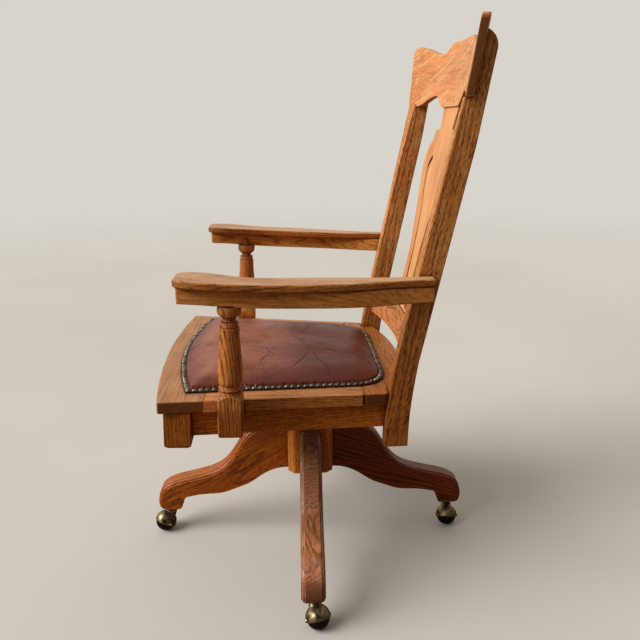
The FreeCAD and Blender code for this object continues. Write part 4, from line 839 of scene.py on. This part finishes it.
def leather():
    """Old waxed hide: lighter in front, mottled, redder at its edges, with fine crackle and painted shade in its
    creases.
    """
    hide = bpy.context.scene.chair_leather
    material, bench = new_material("Creased hide")
    place = bench.place()
    flat = bench.drawn_out(place, 0.3)
    cloud = bench.speckle(flat, 11.0, 4.0, 0.6)
    stain = bench.speckle(flat, 34.0, 3.0, 0.55)
    wobble = bench.vector("MULTIPLY", bench.speckle(flat, 40.0, output="Color"), (0.012, 0.012, 0))
    wobble = bench.vector("ADD", flat, wobble)
    cells = bench.add("TexVoronoi", ("Vector", wobble), ("Scale", 46.0), feature="DISTANCE_TO_EDGE")
    crackle = bench.span(cells.outputs["Distance"], 0.07, 0.0)
    crackle = bench.times(crackle, bench.span(cloud, 0.42, 0.62))
    tiny = bench.add("TexVoronoi", ("Vector", place), ("Scale", 620.0), feature="F1").outputs["Distance"]
    creases = bench.span(bench.attribute("crease"), 0.05, 0.55)
    rim = bench.span(bench.attribute("border"), 0.25, 1.0)
    patch = bench.math("ADD", rim, bench.span(cloud, 0.52, 0.75, 0.0, 0.55), clamp=True)
    back = bench.math("MULTIPLY_ADD", bench.speckle(flat, 9.0), 0.16, bench.part(place, "Y"))
    # The hide is lighter towards the front and darker towards the back
    base = bench.blend(bench.span(back, -0.10, 0.10), (*hide.lighter_front, 1), (*hide.hide, 1))
    base = bench.blend(patch, base, (*hide.edge, 1))
    # Dark stains and crackle in the hide, then painted shade along the creases
    for share in (bench.span(stain, 0.50, 0.72, 0.0, 0.35), bench.times(crackle, 0.35), bench.times(creases, 0.95)):
        base = bench.blend(share, base, (*hide.crack_and_crease_shade, 1))
    rough = bench.math("ADD", bench.span(cloud, 0.3, 0.7, 0.36, 0.5), bench.times(crackle, 0.12))
    height = bench.math("ADD", bench.times(tiny, 0.25), bench.times(crackle, -0.7))
    height = bench.math("SUBTRACT", height, bench.times(creases, 1.2))
    shader(bench, base, rough, height, 0.0005, Specular_IOR_Level=0.34, Coat_Weight=0.05, Coat_Roughness=0.4)
    return material


class CHAIR_OT_nailing(bpy.types.Operator):
    """Lay the dark band round the pad and drive the domed nails through it"""
    bl_idname = "chair.nailing"
    bl_label = "Band and nails"

    def execute(self, context):
        settings = context.scene.chair_nails
        ring = pad_outline()
        self.band(ring, settings)
        self.nails(ring, settings)
        return {"FINISHED"}

    def band(self, ring, settings):
        """A thin ribbon round the pad's edge."""
        bpy.ops.mesh.primitive_circle_add(vertices=len(ring), radius=0.2)
        band = added("nail_band")
        top = SEAT_TOP + BAND_LIFT
        for vertex, point in zip(band.data.vertices, ring):
            vertex.co = (*point, top)
        count = len(ring)
        inner = drawn_in(ring, settings.band)
        edit(band)
        bpy.ops.mesh.extrude_region_move()
        done()
        for vertex, point in zip(band.data.vertices[count:], inner):
            vertex.co = (*point, top + BAND_RISE)
        modify(band, "SOLIDIFY", thickness=0.0022, offset=0.0)
        modify(band, "BEVEL", width=0.0006, segments=1, limit_method="ANGLE")
        face_outwards(band)
        band.data.transform(SEAT_SET)
        smooth(band, 40.0)
        fit(band, "seat", "leather", band_leather())

    def nails(self, ring, settings):
        """One domed nail, copied at an even pitch round the band."""
        line = spaced(drawn_in(ring, settings.band / 2), settings.pitch)
        bpy.ops.mesh.primitive_uv_sphere_add(segments=settings.sides, ring_count=6, radius=settings.radius)
        pattern = added("nail_pattern")
        edit(pattern)
        bpy.ops.mesh.bisect(plane_co=(0, 0, 0), plane_no=(0, 0, 1), clear_inner=True, use_fill=True)
        done()
        pattern.data.transform(Matrix.Diagonal((1, 1, NAIL_DOME, 1)))
        chance = random.Random(3)
        heads = []
        for point in line:
            head = pattern.copy()
            head.data = pattern.data.copy()
            bpy.context.scene.collection.objects.link(head)
            lean = Matrix.Rotation(chance.gauss(0, 0.06), 4, "X") @ Matrix.Rotation(chance.gauss(0, 0.06), 4, "Y")
            turn = Matrix.Rotation(chance.uniform(0, math.tau), 4, "Z")
            jitter = Vector((chance.gauss(0, 0.0003), chance.gauss(0, 0.0003), 0))
            lift = SEAT_TOP + NAIL_LIFT + chance.gauss(0, 0.0001)
            head.data.transform(Matrix.Translation(Vector((*point, lift)) + jitter) @ lean @ turn)
            shade = head.data.attributes.new("shade", "FLOAT", "POINT")
            tint = chance.random()
            for row in shade.data:
                row.value = tint
            heads.append(head)
        bpy.data.objects.remove(pattern)
        only(*heads)
        bpy.ops.object.join()
        nails = added("upholstery_nails")
        nails.data.transform(SEAT_SET)
        smooth(nails, 60.0)
        fit(nails, "seat", "antique_brass", nail_metal())


def band_leather():
    material, bench = new_material("Dark band")
    place = bench.place()
    weave = bench.speckle(place, 700.0)
    cloud = bench.speckle(place, 60.0, 3.0)
    base = bench.blend(bench.span(cloud, 0.35, 0.65), colour(58, 34, 28), colour(30, 20, 18))
    shader(bench, base, bench.span(weave, 0.3, 0.7, 0.55, 0.75), weave, 0.0004)
    return material


def nail_metal():
    material, bench = new_material("Antique nails")
    cloud = bench.speckle(bench.place(), 260.0, 3.0)
    base = bench.blend(bench.attribute("shade"), colour(158, 148, 128), colour(96, 84, 66))
    base = bench.blend(bench.span(cloud, 0.5, 0.7, 0.0, 0.7), base, colour(50, 40, 32))
    shader(bench, base, bench.span(cloud, 0.3, 0.7, 0.28, 0.5), cloud, 0.0002, Metallic=0.9)
    return material


# Hardware

def finished(nodes, prefix, edge, slot, material, segments=2):
    """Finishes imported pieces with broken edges."""
    for node in nodes:
        fit(eased(merged_copy(node, prefix + node), edge, segments), body_of(node), slot, material, node)


class CHAIR_OT_casters(bpy.types.Operator):
    """Finish the brass hoods, black balls, stems and sockets of the four casters"""
    bl_idname = "chair.casters"
    bl_label = "Casters"

    def execute(self, context):
        brass = metal("Aged brass", (170, 150, 112), (50, 42, 32), rough=0.4, patch=60.0)
        ball = black_ball()
        steel = metal("Dull steel", (150, 146, 138), (84, 78, 70), rough=0.38, patch=150.0)
        for name in CASTERS:
            body = "caster_" + name
            hood = eased(merged_copy("caster_hood_" + name, "hood_" + name), 0.0005)
            fit(hood, body, "antique_brass", brass, "caster_hood_" + name)
            wheel = eased(merged_copy("caster_wheel_" + name, "ball_" + name), 0.0003)
            self.mark_heads(wheel, centre_of("caster_wheel_" + name))
            fit(wheel, "wheel_" + name, "dark_caster", ball, "caster_wheel_" + name)
            stem = smooth(merged_copy("caster_stem_" + name, "stem_" + name))
            fit(stem, body, "steel", steel, "caster_stem_" + name)
        sockets = smooth(merged_copy("caster_sockets", "stem_sockets"))
        fit(sockets, "base", "steel", steel, "caster_sockets")
        return {"FINISHED"}

    def mark_heads(self, wheel, middle):
        """Marks the axle's rivet heads, which stand out past the ball, as bright metal."""
        mesh = wheel.data
        bright = mesh.attributes.new("head", "FLOAT", "POINT")
        for row, vertex in zip(bright.data, mesh.vertices):
            row.value = float((vertex.co - middle).length > BALL_RADIUS + RIVET_STAND)


def black_ball():
    """A worn black iron ball with bright rivet heads at the ends of its axle."""
    material, bench = new_material("Worn black ball")
    head = bench.attribute("head")
    scratch = bench.span(bench.speckle(bench.place(), 160.0, 5.0, 0.7), 0.56, 0.70)
    base = bench.blend(scratch, colour(20, 18, 17), colour(74, 66, 56))
    base = bench.blend(head, base, colour(196, 190, 178))
    surface = shader(bench, base, bench.span(scratch, 0.0, 1.0, 0.24, 0.42), scratch, 0.0001)
    bench.put(surface.inputs["Metallic"], bench.math("MULTIPLY_ADD", head, 0.55, 0.4))
    return material


class CHAIR_OT_swivel_screw(bpy.types.Operator):
    """Cut the spindle's thread and finish the nut, washer and sleeve"""
    bl_idname = "chair.swivel_screw"
    bl_label = "Swivel screw"

    def execute(self, context):
        iron = metal("Black iron", (46, 42, 38), (22, 20, 18), rough=0.5, patch=70.0, metallic=0.75, depth=0.0005)
        steel = metal("Oily steel", (120, 114, 104), (62, 54, 46), rough=0.32, patch=90.0)
        finished(("hub_sleeve", "hand_nut", "thrust_washer"), "iron_", 0.0009, "cast_iron", iron)
        self.thread(steel)
        return {"FINISHED"}

    def thread(self, steel):
        """A round thread wound on a core."""
        low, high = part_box("spindle")
        long, radius = high.z - low.z, high.x - THREAD_DEPTH
        bpy.ops.mesh.primitive_cylinder_add(vertices=48, radius=radius, depth=long,
                                            location=(0, 0, (low.z + high.z) / 2))
        core = settle(added("spindle_thread"))
        bpy.ops.mesh.primitive_circle_add(vertices=8, radius=THREAD_PITCH * 0.36, rotation=(math.pi / 2, 0, 0),
                                          location=(radius - 0.0001, 0, low.z + THREAD_PITCH))
        ridge = settle(added("ridge"))
        modify(ridge, "SCREW", axis="Z", screw_offset=THREAD_PITCH, iterations=int(long / THREAD_PITCH) - 2,
               steps=32, render_steps=32)
        face_outwards(ridge)
        only(core, ridge)
        bpy.ops.object.join()
        smooth(core, 50.0)
        fit(core, "column", "steel", steel, "spindle")


class CHAIR_OT_tilting_iron(bpy.types.Operator):
    """Finish the yoke, seat irons, pins, rod, knob and screws, and part the coil spring"""
    bl_idname = "chair.tilting_iron"
    bl_label = "Tilting iron"

    def execute(self, context):
        iron = metal("Japanned iron", (38, 35, 32), (18, 17, 16), rough=0.48, patch=60.0, metallic=0.6, depth=0.0006)
        steel = metal("Pin steel", (132, 126, 116), (70, 62, 54), rough=0.34, patch=120.0)
        spring_steel = metal("Blued spring", (72, 68, 66), (36, 32, 30), rough=0.35, patch=160.0)
        finished(("yoke", "seat_iron_left", "seat_iron_right", "tension_knob"), "iron_", 0.0010, "cast_iron", iron)
        finished(("tilt_pin", "cross_pin", "tension_rod", "tension_washer", "stile_bolts", "iron_screws"),
                 "steel_", 0.0004, "steel", steel, segments=1)
        self.spring(spring_steel)
        return {"FINISHED"}

    def spring(self, material):
        """The coil spring in two lengths: its top rides with the column, and its foot with the tension rod under the
        hand knob.
        """
        for name, body, joint, anchor, keep, cut in (
                ("coil_spring", "column", "seat_tilt", SPRING_TOP, SPRING_TILT_KEEP, "clear_inner"),
                ("coil_spring_foot", "tension_rod", "tension_travel", SPRING_SPLIT, SPRING_TRAVEL_KEEP,
                 "clear_outer")):
            coil = merged_copy("tension_spring", name)
            edit(coil)
            bpy.ops.mesh.bisect(plane_co=tuple(SPRING_SPLIT), plane_no=(0, 0, 1), use_fill=True, **{cut: True})
            done()
            smooth(coil, 50.0)
            fit(coil, body, "steel", material, "tension_spring")
            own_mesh(coil)


class CHAIR_OT_inner_pieces(bpy.types.Operator):
    """Give the covered pieces their plain wood"""
    bl_idname = "chair.inner_pieces"
    bl_label = "Covered pieces"

    def execute(self, context):
        for node, grain in (("seat_panel", (0, 1, 0)), ("leg_dowels", (1, 0, 0))):
            heart = centre_of(node) + Vector((0, 0, -0.1))
            coat(frame["nodes"][node], oak("Plain " + node, heart, grain, tone=0.7))
        return {"FINISHED"}


# Studio

class CHAIR_OT_stage(bpy.types.Operator):
    """Set the pale floor, the window light, the fill and the camera"""
    bl_idname = "chair.stage"
    bl_label = "Stage"

    def execute(self, context):
        studio = context.scene.chair_studio
        self.floor(studio)
        self.window(studio)
        self.room(studio)
        self.camera(studio)
        context.scene.view_settings.view_transform = "Standard"
        return {"FINISHED"}

    def floor(self, studio):
        """A floor that fades far away, and that a camera below looks through."""
        bpy.ops.mesh.primitive_plane_add(size=14.0, location=(0, 0, 0))
        floor = added("floor")
        material, bench = new_material("Pale floor")
        place = bench.place()
        soft = bench.span(bench.speckle(place, 0.9, 3.0), 0.3, 0.7, 0.97, 1.03)
        seen = bench.add("LightPath").outputs["Is Camera Ray"]
        tone = bench.blend(seen, (*studio.bounce, 1), (*studio.floor, 1))
        pale = bench.blend(1.0, tone, soft, "MULTIPLY")
        surface = shader(bench, pale, 0.85, Specular_IOR_Level=0.2)
        away = bench.vector("LENGTH", bench.drawn_out(place, 0.0))
        above = bench.math("SUBTRACT", 1.0, bench.add("NewGeometry").outputs["Backfacing"])
        bench.put(surface.inputs["Alpha"], bench.times(bench.span(away, 6.8, 2.0), above))
        floor.data.materials.append(material)

    def window(self, studio):
        """Broad even light from in front of the chair, a little to the camera's side."""
        bpy.ops.object.light_add(type="SUN", location=(0.5, -3.0, 2.0))
        lamp = added("window light")
        lamp.data.energy = studio.key
        lamp.data.angle = math.radians(studio.softness)
        lamp.rotation_euler = Vector(studio.key_from).to_track_quat("Z", "Y").to_euler()

    def room(self, studio):
        """A pale room: what the camera and reflections see, and how much it lights."""
        world = bpy.data.worlds.new("Pale room")
        bpy.context.scene.world = world
        world.use_nodes = True
        bench = Bench(world.node_tree)
        path = bench.add("LightPath")
        seen = bench.math("MAXIMUM", path.outputs["Is Camera Ray"], path.outputs["Is Transmission Ray"])
        facing = bench.vector("DOT_PRODUCT", bench.add("TexCoord").outputs["Generated"],
                              Vector(studio.wall_side).normalized())
        lit = bench.span(facing, -0.8, 0.9, studio.fill, studio.wall)
        strength = bench.math("ADD", bench.times(lit, bench.math("SUBTRACT", 1.0, seen)), seen)
        light = bench.add("Background", ("Color", (*studio.backdrop, 1)), ("Strength", strength))
        bench.add("OutputWorld", (0, light.outputs[0]))

    def camera(self, studio):
        yaw, pitch, roll = map(math.radians, studio.turn)
        ahead = Vector((-math.cos(pitch) * math.cos(yaw), -math.cos(pitch) * math.sin(yaw), -math.sin(pitch)))
        right = Vector((-math.sin(yaw), math.cos(yaw), 0))
        down = ahead.cross(right)
        across = math.cos(roll) * right + math.sin(roll) * down
        below = math.cos(roll) * down - math.sin(roll) * right
        bpy.ops.object.camera_add()
        camera = added("camera")
        turn = Matrix((across, -below, -ahead)).transposed().to_4x4()
        camera.matrix_world = Matrix.Translation(studio.camera) @ turn
        camera.data.sensor_width = 36.0
        camera.data.lens = studio.lens
        camera.data.shift_x, camera.data.shift_y = studio.shift
        bpy.context.scene.camera = camera


GROUPS = (("chair_wood", WoodSettings), ("chair_leather", LeatherSettings), ("chair_nails", NailSettings),
          ("chair_studio", StudioSettings))
MAKERS = (CHAIR_OT_stage, CHAIR_OT_base, CHAIR_OT_casters, CHAIR_OT_swivel_screw, CHAIR_OT_tilting_iron,
          CHAIR_OT_seat_frame, CHAIR_OT_arms, CHAIR_OT_back, CHAIR_OT_leather_pad, CHAIR_OT_nailing,
          CHAIR_OT_inner_pieces)


class CHAIR_PT_workshop(bpy.types.Panel):
    """Lists the chair's makers and settings"""
    bl_label = "Chair workshop"
    bl_idname = "CHAIR_PT_workshop"
    bl_space_type = "VIEW_3D"
    bl_region_type = "UI"
    bl_category = "Chair"

    def draw(self, context):
        for name, group in GROUPS:
            column = self.layout.column(heading=name)
            for setting in group.__annotations__:
                column.prop(getattr(context.scene, name), setting)
        for maker in MAKERS:
            self.layout.operator(maker.bl_idname)


CLASSES = [group for _, group in GROUPS] + list(MAKERS) + [CHAIR_PT_workshop]


def register():
    for made in CLASSES:
        bpy.utils.register_class(made)
    for name, group in GROUPS:
        setattr(bpy.types.Scene, name, PointerProperty(type=group))


def unregister():
    for name, _ in GROUPS:
        delattr(bpy.types.Scene, name)
    for made in reversed(CLASSES):
        bpy.utils.unregister_class(made)


def main():
    """Makes the whole chair."""
    register()
    oak_figure()
    for maker in MAKERS:
        group, action = maker.bl_idname.split(".")
        getattr(getattr(bpy.ops, group), action)()


if __name__ == "__main__":
    main()
